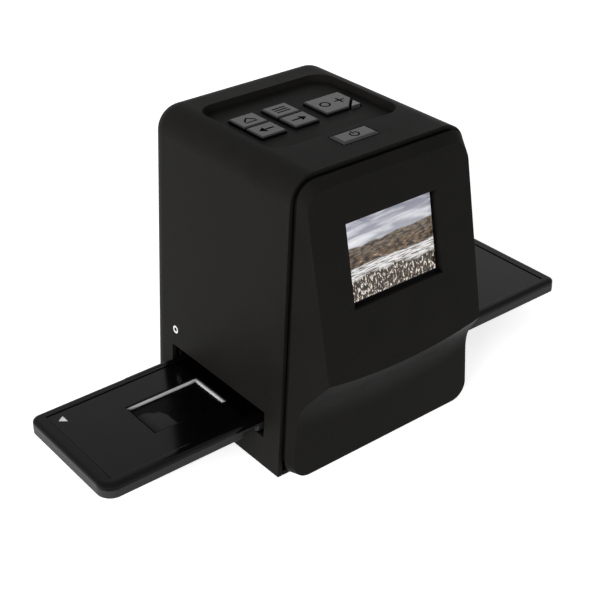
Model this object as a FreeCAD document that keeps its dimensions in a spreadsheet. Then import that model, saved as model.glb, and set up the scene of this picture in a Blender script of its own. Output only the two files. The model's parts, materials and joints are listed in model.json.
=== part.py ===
import FreeCAD, Part
# A desktop scanner for film slides: a tapered upright housing with a tilted display in its front,
# keys in a shallow tray on top, and a long flat slide holder that passes through from side to side.
# Millimetres. +X is the viewer's right, +Y goes back, +Z up. It is drawn about the housing's middle
# plane, and handed over with the origin under the middle of the whole, whose holder reaches further right.
import math
import os

import Sketcher
from FreeCAD import Placement, Rotation, Vector

doc = FreeCAD.newDocument("slide_scanner")
sheet = doc.addObject("Spreadsheet::Sheet", "Sizes")

# Driving dimensions. Depths are measured back from the groove between the two shells,
# reaches are measured forward from it, and heights are measured up from the housing's underside.
SIZES = {
    # housing
    "base_width": 110.0,
    "top_width": 91.7,
    "body_height": 139.2,
    "groove_to_back": 100.7,
    "wall": 2.2,
    "top_side_radius": 12.0,
    "back_radius": 10.0,
    "foot_proud": 1.0,
    "shell_fit": 0.25,
    "overrun": 3.0,
    # groove and front shell
    "rim_depth": 1.4,
    "bezel_rear_reach": 0.6,
    "bezel_step": 1.8,
    "panel_top_reach": 4.0,
    "panel_top_drop": 5.9,
    "chin_reach": 18.5,
    "chin_drop": 85.6,
    "chin_half_width": 43.0,
    "chin_bow": 4.4,
    "chin_inset": 8.4,
    "lower_front_reach": 5.3,
    "knee_drop": 23.2,
    "knee_radius": 26.0,
    "form_reach": 22.0,
    "bezel_foot_radius": 8.0,
    "bezel_rear_radius": 9.0,
    "bezel_nose_radius": 4.0,
    "tongue_length": 6.0,
    "tongue_thickness": 1.8,
    # display
    "opening_width": 49.0,
    "opening_height": 37.0,
    "opening_drop": 16.8,
    "display_x": -0.9,
    "glass_side_lap": 3.5,
    "glass_end_lap": 3.25,
    "glass_thickness": 1.1,
    "glass_sink": 3.0,
    "collar_width": 2.5,
    "display_frame_margin": 1.5,
    "display_frame_thickness": 3.4,
    "display_frame_skin": 0.5,
    "bracket_margin": 5.5,
    "bracket_thickness": 2.0,
    "bracket_hole_inset": 7.0,
    "bracket_screw_inset": 2.8,
    "bracket_boss_radius": 2.3,
    # slot in both side walls and the channel between them
    "slot_front_gap": 4.3,
    "slot_back_gap": 2.9,
    "slot_under_gap": 0.3,
    "slot_over_gap": 5.1,
    "slot_radius": 0.8,
    "channel_floor": 1.2,
    "channel_end_gap": 4.6,
    "channel_rail": 2.4,
    "holder_side_gap": 0.35,
    "holder_under_gap": 0.3,
    "holder_over_gap": 0.4,
    "gate_thickness": 1.8,
    "gate_flat_half_length": 33.0,
    "gate_end_rise": 4.6,
    "gate_screw_x": 26.0,
    "axis_depth": 48.0,
    "light_window_length": 41.0,
    "light_window_depth": 29.0,
    # slide holder
    "holder_length": 266.8,
    "holder_shift": 3.2,
    "holder_front": 16.7,
    "holder_back": 80.0,
    "holder_bottom": 15.0,
    "holder_corner_radius": 7.0,
    "holder_rear_radius": 4.2,
    "holder_right_radius": 3.2,
    "holder_base_thickness": 4.2,
    "holder_cover_thickness": 3.2,
    "cover_edge_radius": 2.0,
    "base_edge_chamfer": 0.6,
    "window_length": 37.5,
    "window_depth": 24.2,
    "window_pitch": 75.0,
    "mount_side": 50.0,
    "mount_gap": 0.2,
    "mount_thickness": 2.4,
    "mount_rim": 1.0,
    "film_border": 1.6,
    "film_thickness": 0.2,
    "inlay_end_margin": 5.6,
    "inlay_front_margin": 4.0,
    "inlay_back_margin": 4.7,
    "inlay_thickness": 0.5,
    "cover_skin": 0.4,
    "base_window_margin": 0.6,
    "inlay_sink": 0.4,
    "inlay_gap": 0.1,
    "inlay_corner_radius": 0.6,
    "notch_length": 6.0,
    "notch_depth": 1.6,
    "notch_flank": 1.2,
    "notch_centre": 17.6,
    "front_notch_x": 57.4,
    "front_notch_height": 3.1,
    "hinge_inner": 61.0,
    "hinge_outer": 81.6,
    "hinge_radius": 1.7,
    "hinge_pin_reach": 3.0,
    "hinge_pin_radius": 0.8,
    "hinge_pin_play": 0.05,
    "hinge_gap": 0.3,
    # light box under the channel
    "light_box_length": 54.0,
    "light_box_depth": 42.0,
    "light_box_wall": 1.5,
    "diffuser_thickness": 1.5,
    "board_thickness": 1.6,
    "lamp_length": 3.5,
    "lamp_depth": 2.8,
    "lamp_height": 0.9,
    "lamp_pitch_x": 15.0,
    "lamp_pitch_y": 13.0,
    # optics above the gate
    "hood_foot_length": 47.0,
    "hood_foot_depth": 35.0,
    "hood_flange": 5.0,
    "hood_flange_thickness": 2.0,
    "hood_side": 34.0,
    "hood_neck": 26.0,
    "hood_drop": 9.0,
    "hood_wall": 1.6,
    "sensor_board_side": 40.0,
    "sensor_screw_inset": 2.0,
    "sensor_side": 8.4,
    "sensor_thickness": 1.0,
    "lens_mount_side": 16.0,
    "lens_mount_flange": 3.0,
    "lens_mount_drop": 14.0,
    "lens_mount_bore": 6.2,
    "barrel_radius": 6.1,
    "barrel_head_radius": 7.6,
    "barrel_length": 17.0,
    "barrel_head_length": 4.0,
    "barrel_bore": 4.4,
    "lens_radius": 4.35,
    "lens_crown": 0.9,
    "lens_edge": 0.9,
    "filter_side": 9.4,
    "filter_thickness": 0.5,
    "filter_gap": 0.6,
    "barrel_stand_off": 0.5,
    # base plate, feet and screws
    "channel_leg_radius": 3.0,
    "channel_leg_x": 38.0,
    "channel_leg_y": 22.0,
    "foot_radius": 5.5,
    "foot_inset": 11.5,
    "foot_front": 16.0,
    "foot_back_inset": 12.7,
    "boss_radius": 3.6,
    "boss_inset": 8.5,
    "boss_front": 32.0,
    "boss_back_inset": 26.7,
    "boss_top": 12.8,
    "boss_rib": 1.6,
    "screw_radius": 1.2,
    "screw_head_radius": 2.6,
    "screw_head_height": 1.3,
    "screw_length": 8.0,
    "small_screw_radius": 0.9,
    "small_screw_head_radius": 1.8,
    "small_screw_head_height": 0.9,
    "small_screw_length": 3.3,
    "pilot_gap": 0.05,
    "counterbore_gap": 0.2,
    "vent_front": 10.0,
    "vent_length": 22.0,
    "vent_width": 1.6,
    "vent_pitch": 4.0,
    # keys in the top
    "recess_half_width": 35.0,
    "recess_front": 25.7,
    "recess_back_inset": 18.7,
    "recess_depth": 3.5,
    "recess_radius": 9.0,
    "recess_slope": 0.8,
    "key_width": 12.6,
    "key_depth": 11.4,
    "key_left_x": -21.1,
    "key_middle_x": -3.7,
    "key_row_inset": 20.1,
    "key_row_pitch": 12.6,
    "wide_key_x": 18.7,
    "wide_key_inset": 27.8,
    "wide_key_width": 19.4,
    "wide_key_depth": 16.4,
    "wide_key_chamfer": 7.0,
    "power_key_y": 17.8,
    "power_key_width": 19.0,
    "power_key_depth": 9.6,
    "key_proud": 1.6,
    "power_key_proud": 0.7,
    "key_gap": 0.5,
    "key_hole_radius": 0.8,
    "key_bevel_run": 0.5,
    "key_bevel_rise": 0.5,
    "power_bevel_run": 1.3,
    "power_bevel_rise": 0.6,
    "key_wall": 1.2,
    "key_ear": 1.2,
    "key_flange_thickness": 1.2,
    "key_seat_gap": 0.1,
    "stem_side": 3.4,
    "plunger_side": 2.4,
    "plunger_length": 2.4,
    "plunger_proud": 1.2,
    "stem_drop": 3.0,
    "plunger_play": 0.1,
    "switch_side": 6.0,
    "switch_height": 3.6,
    "switch_floor": 0.6,
    "pipe_leg": 5.0,
    "pipe_inset": 0.8,
    "pipe_flange": 0.9,
    "pipe_flange_spread": 2.0,
    "pipe_radius": 1.5,
    "pipe_proud": 1.4,
    "indicator_side": 1.6,
    "indicator_height": 1.0,
    "key_board_side_gap": 1.0,
    "key_board_front": 9.5,
    "key_board_back_gap": 6.0,
    "key_post_side_inset": 3.5,
    "key_post_end_inset": 4.0,
    "post_radius": 2.6,
    # main board on its ledges, and the sockets on its rear edge
    "ledge_drop": 44.2,
    "ledge_reach": 6.0,
    "ledge_thickness": 2.0,
    "main_board_gap": 1.0,
    "main_board_front": 14.0,
    "main_screw_inset": 3.2,
    "main_screw_front": 24.0,
    "main_screw_back_inset": 16.7,
    "processor_side": 15.0,
    "processor_height": 1.4,
    "memory_length": 12.0,
    "memory_width": 8.0,
    "memory_height": 1.0,
    "memory_x": 20.0,
    "chip_y": 52.0,
    "usb_x": -24.0,
    "usb_width": 7.8,
    "usb_height": 4.0,
    "usb_length": 9.0,
    "usb_wall": 0.4,
    "usb_tongue_width": 5.0,
    "usb_tongue_thickness": 1.1,
    "card_x": 2.0,
    "card_width": 28.0,
    "card_height": 3.4,
    "card_length": 26.0,
    "card_slot_width": 24.6,
    "card_slot_height": 2.3,
    "card_slot_depth": 20.0,
    "jack_x": 27.0,
    "jack_width": 7.0,
    "jack_height": 5.2,
    "jack_length": 12.0,
    "jack_bore": 1.8,
    "jack_ring": 2.3,
    "jack_depth": 9.0,
    "socket_sink": 0.6,
    "socket_gap": 0.3,
    # detent spring beside the channel
    "detent_thickness": 0.3,
    "detent_height": 3.0,
    "detent_half_length": 12.0,
    "detent_nose_half_length": 2.6,
    "detent_foot_length": 4.5,
    "detent_window_gap": 1.0,
    "detent_clear": 0.3,
    "rivet_length": 1.8,
    "rivet_head_radius": 1.4,
    "rivet_head_height": 0.5,
}

UNDERCUT_SWEEP = 50
VENT_COUNT = 4
BOLT_SIDES = 6
TOUCH = 1e-4


class Size:
    """A length that knows its number and its formula in the sheet, so what is built from it follows it."""

    def __init__(self, value, formula):
        self.value = float(value)
        self.formula = formula

    def __add__(self, other):
        other = as_size(other)
        return Size(self.value + other.value, f"({self.formula} + {other.formula})")

    def __sub__(self, other):
        other = as_size(other)
        return Size(self.value - other.value, f"({self.formula} - {other.formula})")

    def __mul__(self, other):
        other = as_size(other)
        return Size(self.value * other.value, f"({self.formula} * {other.formula})")

    def __truediv__(self, other):
        other = as_size(other)
        return Size(self.value / other.value, f"({self.formula} / {other.formula})")

    def __rsub__(self, other):
        return as_size(other) - self

    def __neg__(self):
        return Size(-self.value, f"(-1 * {self.formula})")

    __radd__ = __add__
    __rmul__ = __mul__


def as_size(thing):
    """A plain number stands for itself."""
    return thing if isinstance(thing, Size) else Size(thing, repr(float(thing)))


class Sizes:
    """The driving dimensions by name, each in its own cell of the sheet."""

    def __init__(self, table):
        for row, (name, value) in enumerate(table.items(), start=1):
            sheet.set(f"A{row}", name)
            sheet.set(f"B{row}", repr(value))
            sheet.setAlias(f"B{row}", name)
            setattr(self, name, Size(value, f"Sizes.{name}"))


S = Sizes(SIZES)
doc.recompute()

ZERO = as_size(0)
XY, XZ, YZ = "XY_Plane", "XZ_Plane", "YZ_Plane"
nodes = {}


def bind(thing, prop, size):
    """Sets a property of a piece by its formula."""
    thing.setExpression(prop, as_size(size).formula)


def place(thing, x=ZERO, y=ZERO, z=ZERO):
    """Moves a piece, bound to the sheet."""
    x, y, z = as_size(x), as_size(y), as_size(z)
    thing.Placement = Placement(Vector(x.value, y.value, z.value), thing.Placement.Rotation)
    for letter, size in zip("xyz", (x, y, z)):
        bind(thing, f"Placement.Base.{letter}", size)
    return thing


def node(name, thing):
    """Names a finished sub-part."""
    thing.Label = name
    nodes[name] = thing
    return thing


def block(name, x0, x1, y0, y1, z0, z1):
    """A box between two corners."""
    thing = doc.addObject("Part::Box", name)
    for prop, size in (("Length", x1 - x0), ("Width", y1 - y0), ("Height", z1 - z0)):
        setattr(thing, prop, size.value)
        bind(thing, prop, size)
    return place(thing, x0, y0, z0)


def rod(name, x, y, z, radius, length, turn=Rotation()):
    """A round bar from a point, upwards or as turned."""
    thing = doc.addObject("Part::Cylinder", name)
    for prop, size in (("Radius", radius), ("Height", length)):
        setattr(thing, prop, size.value)
        bind(thing, prop, size)
    thing.Placement = Placement(Vector(), turn)
    return place(thing, x, y, z)


def peg(name, x, y, z, radius, length, turn=Rotation()):
    """A six-sided bar from a point, upwards or as turned; its radius is that of the round bar inside it."""
    thing = doc.addObject("Part::Prism", name)
    thing.Polygon = BOLT_SIDES
    corner = radius / math.cos(math.pi / BOLT_SIDES)
    for prop, size in (("Circumradius", corner), ("Height", length)):
        setattr(thing, prop, size.value)
        bind(thing, prop, size)
    thing.Placement = Placement(Vector(), turn)
    return place(thing, x, y, z)


ALONG_X = Rotation(Vector(0, 1, 0), 90)
ALONG_Y = Rotation(Vector(-1, 0, 0), 90)


def cut(name, base, *tools):
    thing = doc.addObject("Part::Cut", name)
    thing.Base = base
    thing.Tool = tools[0] if len(tools) == 1 else join(name + "_tools", *tools)
    return thing


def join(name, *pieces):
    thing = doc.addObject("Part::MultiFuse", name)
    thing.Shapes = list(pieces)
    return thing


def common(name, *pieces):
    thing = doc.addObject("Part::MultiCommon", name)
    thing.Shapes = list(pieces)
    return thing


def group(name, pieces):
    """Separate solids that share one node."""
    thing = doc.addObject("Part::Compound", name)
    thing.Links = list(pieces)
    return thing


DRIVEN_DOWN = Rotation(Vector(1, 0, 0), 180)
DRIVEN_UP = Rotation()
DRIVEN_AHEAD = Rotation(Vector(1, 0, 0), 90)


def screw(name, head_form, x, y, z, radius, length, head_radius, head_height, turn):
    """A screw whose head rests at a point, its shank turned the way that it is driven."""
    shank = peg(name + "_shank", ZERO, ZERO, ZERO, radius, length)
    head = head_form(name + "_head", ZERO, ZERO, -head_height, head_radius, head_height)
    bolt = join(name, shank, head)
    bolt.Placement = Placement(Vector(), turn)
    return place(bolt, x, y, z)


def small_screw(x, y, z, turn=DRIVEN_DOWN):
    """A hexagon-head screw for boards and brackets."""
    return screw("small_screw", peg, x, y, z, S.small_screw_radius, S.small_screw_length,
                 S.small_screw_head_radius, S.small_screw_head_height, turn)


def small_hole(name, x, y, z, length, turn=Rotation()):
    """The hole that a small screw goes through or into."""
    return peg(name, x, y, z, S.small_screw_radius + S.pilot_gap, length, turn)


def rounded(name, base, test, radius, chamfer=False):
    """Rounds or bevels the edges of a piece that pass a test."""
    doc.recompute()
    thing = doc.addObject("Part::Chamfer" if chamfer else "Part::Fillet", name)
    thing.Base = base
    chosen = [i for i, edge in enumerate(base.Shape.Edges, start=1) if test(edge)]
    thing.Edges = [(i, radius.value, radius.value) for i in chosen]
    return thing


def at_height(edge, height):
    """Whether an edge lies level at a height."""
    box = edge.BoundBox
    return abs(box.ZMin - height.value) < TOUCH and abs(box.ZMax - height.value) < TOUCH


def rectangle(u0, u1, v0, v1, radius=None):
    """A rectangular outline, rounded where a radius is given."""
    corners = ((u0, v0), (u1, v0), (u1, v1), (u0, v1))
    return [corner if radius is None else (*corner, radius) for corner in corners]


def dimension(sketch, kind, where, size):
    """Adds one dimension to a sketch and binds it."""
    index = sketch.addConstraint(Sketcher.Constraint(kind, *where, size.value))
    name = f"size_{index}"
    sketch.renameConstraint(index, name)
    bind(sketch, f"Constraints.{name}", size)


def draw_outline(sketch, corners):
    """Draws a closed outline of straight runs; a corner given as (u, v, radius) is rounded."""
    count = len(corners)
    points = [Vector(as_size(c[0]).value, as_size(c[1]).value, 0) for c in corners]
    leave, arrive, arcs = [], [], []
    for i, corner in enumerate(corners):
        here = points[i]
        if len(corner) == 2:
            leave.append(here)
            arrive.append(here)
            arcs.append(None)
            continue
        radius = corner[2].value
        back = (points[i - 1] - here).normalize()
        ahead = (points[(i + 1) % count] - here).normalize()
        half = back.getAngle(ahead) / 2
        arrive.append(here + back * (radius / math.tan(half)))
        leave.append(here + ahead * (radius / math.tan(half)))
        centre = here + (back + ahead).normalize() * (radius / math.sin(half))
        left_turn = back.cross(ahead).z < 0
        first, last = (arrive[i], leave[i]) if left_turn else (leave[i], arrive[i])
        angles = [math.atan2(p.y - centre.y, p.x - centre.x) for p in (first, last)]
        circle = Part.Circle(centre, Vector(0, 0, 1), radius)
        arcs.append((Part.ArcOfCircle(circle, angles[0], angles[1]), left_turn))
    lines = [sketch.addGeometry(Part.LineSegment(leave[i], arrive[(i + 1) % count])) for i in range(count)]
    for i, corner in enumerate(corners):
        before, after = lines[i - 1], lines[i]
        u, v = as_size(corner[0]), as_size(corner[1])
        if arcs[i] is None:
            sketch.addConstraint(Sketcher.Constraint("Coincident", before, 2, after, 1))
            dimension(sketch, "DistanceX", (-1, 1, after, 1), u)
            dimension(sketch, "DistanceY", (-1, 1, after, 1), v)
            continue
        arc, left_turn = arcs[i]
        bend = sketch.addGeometry(arc)
        start, end = (1, 2) if left_turn else (2, 1)
        sketch.addConstraint(Sketcher.Constraint("Tangent", before, 2, bend, start))
        sketch.addConstraint(Sketcher.Constraint("Tangent", bend, end, after, 1))
        dimension(sketch, "Radius", (bend,), corner[2])
        point = sketch.addGeometry(Part.Point(points[i]), True)
        sketch.addConstraint(Sketcher.Constraint("PointOnObject", point, 1, before))
        sketch.addConstraint(Sketcher.Constraint("PointOnObject", point, 1, after))
        dimension(sketch, "DistanceX", (-1, 1, point, 1), u)
        dimension(sketch, "DistanceY", (-1, 1, point, 1), v)


def sketch_on(body, plane, start, *outlines):
    """A sketch on one of a body's own planes, moved along its normal to a depth."""
    sketch = body.newObject("Sketcher::SketchObject", body.Name + "_sketch")
    origin = [f for f in body.Origin.OriginFeatures if f.Role == plane][0]
    sketch.AttachmentSupport = [(origin, "")]
    sketch.MapMode = "FlatFace"
    start = as_size(start)
    bind(sketch, "AttachmentOffset.Base.z", -start if plane == XZ else start)
    for outline in outlines:
        draw_outline(sketch, outline)
    return sketch


def prism(name, plane, start, depth, *outlines, taper=None):
    """A body with one profile pushed out along +X, +Y or +Z; inner outlines are holes."""
    body = doc.addObject("PartDesign::Body", name)
    sketch = sketch_on(body, plane, start, *outlines)
    pad = body.newObject("PartDesign::Pad", name + "_pad")
    pad.Profile = sketch
    pad.Reversed = plane == XZ
    bind(pad, "Length", depth)
    if taper is not None:
        pad.setExpression("TaperAngle", f"atan({taper.formula})")
    sketch.Visibility = False
    return body


def turned(name, *profile):
    """A body turned about its own upright axis from a half profile."""
    body = doc.addObject("PartDesign::Body", name)
    sketch = sketch_on(body, XZ, ZERO, list(profile))
    turn = body.newObject("PartDesign::Revolution", name + "_turn")
    turn.Profile = sketch
    turn.ReferenceAxis = (sketch, ["V_Axis"])
    turn.Angle = 360
    return body


def loft(name, plane, sections):
    """A body that runs straight from one outline to the next, each at its own depth."""
    body = doc.addObject("PartDesign::Body", name)
    sketches = [sketch_on(body, plane, start, outline) for start, outline in sections]
    form = body.newObject("PartDesign::AdditiveLoft", name + "_loft")
    form.Profile = sketches[0]
    form.Sections = sketches[1:]
    form.Ruled = True
    return body


# Derived places, all from the driving dimensions
panel_top = S.body_height - S.panel_top_drop
chin_lowest = S.body_height - S.chin_drop - S.chin_bow
knee = S.body_height - S.chin_drop - S.knee_drop
ledge = S.body_height - S.ledge_drop
holder_top = S.holder_bottom + S.holder_base_thickness + S.holder_cover_thickness
recess_back = S.groove_to_back - S.recess_back_inset
foot_back = S.groove_to_back - S.foot_back_inset
boss_back = S.groove_to_back - S.boss_back_inset
boss_x = S.base_width / 2 - S.boss_inset
panel_rise = S.chin_drop - S.panel_top_drop
panel_run = S.chin_reach - S.panel_top_reach
front_reach = S.chin_reach + S.chin_bow * panel_run / panel_rise
groove = (front_reach - S.groove_to_back) / 2
floor = S.foot_proud


def back(depth):
    """A y from a depth behind the groove."""
    return groove + depth


def ahead(reach):
    """A y from a reach in front of the groove."""
    return groove - reach


def up(height):
    """A z from a height above the housing's underside."""
    return floor + height


top = up(S.body_height)
side_lean = (S.base_width - S.top_width) / 2 / S.body_height


def both_sides(x, *rows):
    """The same rows of places left and right of the middle plane."""
    return [(side * x, y) for side in (-1, 1) for y in rows]


def half_width(height, inset=ZERO):
    """Half the housing's width at a height, less an inset."""
    return S.base_width / 2 - side_lean * height - inset


def housing_outline(inset, low, high, low_radius, high_radius):
    """The front outline of the housing, drawn in by an inset, between two heights."""
    wide, narrow = half_width(low, inset), half_width(high, inset)
    corners = [(-wide, up(low)), (wide, up(low)), (narrow, up(high)), (-narrow, up(high))]
    radii = [low_radius, low_radius, high_radius, high_radius]
    return [corner if radius is None else (*corner, radius) for corner, radius in zip(corners, radii)]


# Main shell: both sides, back and top in one moulding, open in front and below
def shell_form(name, inset, front, rear, low):
    """The housing's tapered form, rounded along the top and all round its back."""
    corner = S.top_side_radius - inset
    form = prism(name + "_form", XZ, front, rear - front,
                 housing_outline(inset, low, S.body_height - inset, None, corner))

    def on_rear_rim(edge):
        box = edge.BoundBox
        at_rear = abs(box.YMin - rear.value) < TOUCH and abs(box.YMax - rear.value) < TOUCH
        return at_rear and box.ZMax > up(low).value + TOUCH

    return rounded(name, form, on_rear_rim, S.back_radius - inset)


rim = back(S.rim_depth)
rear = back(S.groove_to_back)
outer = shell_form("shell_outer", ZERO, rim, rear, ZERO)
inner = shell_form("shell_inner", S.wall, rim - S.overrun, rear - S.wall, -S.overrun)
hollow = cut("shell_hollow", outer, inner)


def mirrored(name, side, near, far, *rest):
    """A box between two distances from the middle plane, on the left or the right."""
    return block(name, *((near, far) if side > 0 else (-far, -near)), *rest)


def recess_outline(grow):
    """The outline of the key tray, grown or drawn in."""
    return rectangle(-S.recess_half_width - grow, S.recess_half_width + grow,
                     back(S.recess_front) - grow, back(recess_back) + grow, S.recess_radius + grow)


recess_floor = top - S.recess_depth
recess_under = recess_floor - S.wall
top_under = top - S.wall
flange_top = recess_under - S.key_seat_gap
flange_bottom = flange_top - S.key_flange_thickness
plunger_top = flange_bottom - S.stem_drop
switch_top = plunger_top - S.plunger_proud
key_board_top = switch_top - S.switch_height
board_top = up(ledge) + S.board_thickness
cavity_width = half_width(ledge, S.wall)
board_half = cavity_width - S.main_board_gap
main_screw_depths = (S.main_screw_front, S.groove_to_back - S.main_screw_back_inset)
row_back_y = back(recess_back - S.key_row_inset)
row_front_y = row_back_y - S.key_row_pitch
wide_y = back(recess_back - S.wide_key_inset)
key_board_half = S.recess_half_width - S.key_board_side_gap
key_board_back = recess_back - S.key_board_back_gap
key_post_x = key_board_half - S.key_post_side_inset
key_post_depths = (S.key_board_front + S.key_post_end_inset, key_board_back - S.key_post_end_inset)
mid_y = back(S.axis_depth)

pan = prism("recess_pan", XY, recess_under, S.recess_depth + S.wall / 2, recess_outline(S.wall))
recess = prism("recess_space", XY, recess_floor, S.recess_depth + S.overrun, recess_outline(-S.recess_slope),
               taper=S.recess_slope / S.recess_depth)
slot = prism("slot_space", YZ, -S.base_width / 2 - S.overrun, S.base_width + S.overrun * 2, rectangle(
    back(S.holder_front) - S.slot_front_gap, back(S.holder_back) + S.slot_back_gap,
    up(S.holder_bottom) - S.slot_under_gap, up(holder_top) + S.slot_over_gap, S.slot_radius))


def key_outline(x, y, width, depth, grow=ZERO, chamfer=None):
    """The outline of a key from above, one front corner cut off where a chamfer is given."""
    x0, x1 = x - width / 2 - grow, x + width / 2 + grow
    y0, y1 = y - depth / 2 - grow, y + depth / 2 + grow
    if chamfer is None:
        return rectangle(x0, x1, y0, y1)
    leg = chamfer + grow * (2 - math.sqrt(2))
    return [(x0, y0), (x1 - leg, y0), (x1, y0 + leg), (x1, y1), (x0, y1)]


def key_hole(name, under, x, y, width, depth):
    """A rounded opening for a key, down through the wall whose underside is given."""
    half_x, half_y = width / 2 + S.key_gap, depth / 2 + S.key_gap
    outline = rectangle(x - half_x, x + half_x, y - half_y, y + half_y, S.key_hole_radius)
    return prism(name, XY, under - S.overrun, S.wall + S.overrun * 2, outline)


def pipe_outline(spread):
    """The three-cornered lens beside the wide key; a spread widens its two square sides."""
    x1 = S.wide_key_x + S.wide_key_width / 2 - S.pipe_inset + spread
    y0 = wide_y - S.wide_key_depth / 2 - spread
    leg = S.pipe_leg + spread * 2
    return [(x1 - leg, y0), (x1, y0), (x1, y0 + leg)]


column_y = (row_front_y + row_back_y) / 2
column_depth = S.key_depth + S.key_row_pitch
holes = [
    key_hole("left_key_hole", recess_under, S.key_left_x, column_y, S.key_width, column_depth),
    key_hole("middle_key_hole", recess_under, S.key_middle_x, column_y, S.key_width, column_depth),
    key_hole("wide_key_hole", recess_under, S.wide_key_x, wide_y, S.wide_key_width, S.wide_key_depth),
    key_hole("power_key_hole", top_under, ZERO, back(S.power_key_y), S.power_key_width, S.power_key_depth),
]
for name, x, width, height in (("usb", S.usb_x, S.usb_width, S.usb_height),
                               ("card", S.card_x, S.card_width, S.card_height)):
    holes.append(block(name + "_hole", x - width / 2 - S.socket_gap, x + width / 2 + S.socket_gap,
                       rear - S.wall - S.overrun, rear + S.overrun,
                       board_top - S.socket_gap, board_top + height + S.socket_gap))
jack_z = board_top + S.jack_height / 2
holes.append(rod("jack_hole", S.jack_x, rear - S.wall - S.overrun, jack_z,
                 S.jack_ring + S.socket_gap, S.wall + S.overrun * 2, ALONG_Y))

added = []
pilots = []
for side in (-1, 1):
    tag = "left" if side < 0 else "right"
    added.append(mirrored(f"ledge_{tag}", side, cavity_width - S.ledge_reach, cavity_width + S.wall / 2,
                          back(S.main_board_front), rear - S.back_radius,
                          up(ledge - S.ledge_thickness), up(ledge)))
    for depth in main_screw_depths:
        pilots.append(small_hole("ledge_pilot", side * (board_half - S.main_screw_inset), back(depth),
                                 up(ledge) - S.ledge_thickness - S.overrun,
                                 S.ledge_thickness + S.overrun * 2))
    for depth, under in zip(key_post_depths, (top_under, recess_under)):
        added.append(rod("key_post", side * key_post_x, back(depth), key_board_top,
                         S.post_radius, under - key_board_top + S.wall / 2))
        pilots.append(small_hole("key_post_pilot", side * key_post_x, back(depth),
                                 key_board_top - S.overrun, S.small_screw_length + S.overrun))
    for depth in (S.boss_front, boss_back):
        added.append(rod("base_boss", side * boss_x, back(depth), up(S.wall),
                         S.boss_radius, S.boss_top - S.wall))
        added.append(mirrored("base_boss_rib", side, boss_x, half_width(S.boss_top, S.wall / 2),
                              back(depth) - S.boss_rib / 2, back(depth) + S.boss_rib / 2,
                              up(S.wall), up(S.boss_top)))
        pilots.append(peg("base_boss_pilot", side * boss_x, back(depth), up(S.wall) - S.overrun,
                          S.screw_radius + S.pilot_gap, S.screw_length + S.overrun))
main_shell = cut("main_shell", join("shell_with_posts", hollow, pan, *added), slot, recess, *holes, *pilots)
node("main_shell", main_shell)


# Front shell: a tilted panel over an undercut foot, with a tongue that enters the main shell
def bezel_form(name, inset):
    """The front shell's form; an inset gives the hollow inside it."""
    slope_share = (S.form_reach - S.bezel_rear_reach) / (S.chin_reach - S.bezel_rear_reach)
    rise_share = (S.form_reach - S.bezel_rear_reach) / (S.panel_top_reach - S.bezel_rear_reach)
    side_step = S.bezel_step + (S.chin_inset - S.bezel_step) * slope_share + inset
    top_step = S.bezel_step + (S.panel_top_drop - S.bezel_step) * rise_share + inset
    rear_step = S.bezel_step + inset
    low = ZERO if inset is ZERO else rear_step

    def outline(side, upper, low_radius, high_radius):
        high = S.body_height - upper
        wide, narrow = half_width(low, side), half_width(high, side)
        return [(-wide, up(low), low_radius), (wide, up(low), low_radius),
                (narrow, up(high), high_radius), (-narrow, up(high), high_radius)]

    form = loft(name + "_form", XZ, [
        (ahead(S.bezel_rear_reach), outline(rear_step, rear_step, S.bezel_foot_radius - inset,
                                            S.bezel_rear_radius - inset)),
        (ahead(S.form_reach), outline(side_step, top_step, S.bezel_foot_radius - inset,
                                      S.bezel_nose_radius - inset)),
    ])
    tilt = panel_run / panel_rise
    far = S.form_reach * 2
    width = S.base_width / 2 + S.overrun
    in_front = prism(name + "_front", YZ, -width, width * 2, [
        (ahead(S.panel_top_reach) + tilt * (S.panel_top_drop + S.overrun) + inset,
         up(S.body_height + S.overrun)),
        (ahead(far), up(S.body_height + S.overrun)),
        (ahead(far), -S.form_reach),
        (ahead(S.panel_top_reach) - tilt * (up(panel_top) + S.form_reach) + inset, -S.form_reach),
    ])
    bow_radius = (S.chin_half_width * S.chin_half_width + S.chin_bow * S.chin_bow) / (S.chin_bow * 2)
    body = doc.addObject("PartDesign::Body", name + "_undercut")
    sketch = sketch_on(body, YZ, ZERO, [
        (ahead(far), -bow_radius), (ahead(front_reach) + inset, -bow_radius),
        (ahead(S.lower_front_reach) + inset, knee - chin_lowest - bow_radius, S.knee_radius),
        (ahead(S.lower_front_reach) + inset, -bow_radius - chin_lowest - S.form_reach),
        (ahead(far), -bow_radius - chin_lowest - S.form_reach),
    ])
    sweep = body.newObject("PartDesign::Revolution", name + "_undercut_turn")
    sweep.Profile = sketch
    sweep.ReferenceAxis = (sketch, ["H_Axis"])
    sweep.Angle = UNDERCUT_SWEEP
    sweep.Midplane = True
    place(body, ZERO, ZERO, up(chin_lowest) + bow_radius)
    return cut(name, form, in_front, body)


def on_panel(thing):
    """Puts a piece drawn flat behind an upright wall behind the tilted panel."""
    thing.Placement = Placement(Vector(), Rotation(Vector(-1, 0, 0), 0))
    place(thing, ZERO, ahead(S.panel_top_reach), up(panel_top))
    bind(thing, "Placement.Rotation.Angle", Size(0, f"atan2({panel_run.formula}; {panel_rise.formula})"))
    return thing


def tongue_outline(inset):
    """The outline of the front shell's tongue, inside the main shell's walls."""
    return housing_outline(inset, inset, S.body_height - inset,
                           S.bezel_foot_radius - inset + S.wall, S.top_side_radius - inset)


tongue_inset = S.wall + S.shell_fit
tongue = prism("tongue", XZ, ahead(S.bezel_rear_reach), S.bezel_rear_reach + S.rim_depth + S.tongue_length,
               tongue_outline(tongue_inset), tongue_outline(tongue_inset + S.tongue_thickness))
bezel_shell = cut("bezel_shell", bezel_form("bezel_outer", ZERO), bezel_form("bezel_inner", S.wall))

opening_middle = -S.opening_drop - S.opening_height / 2


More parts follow.
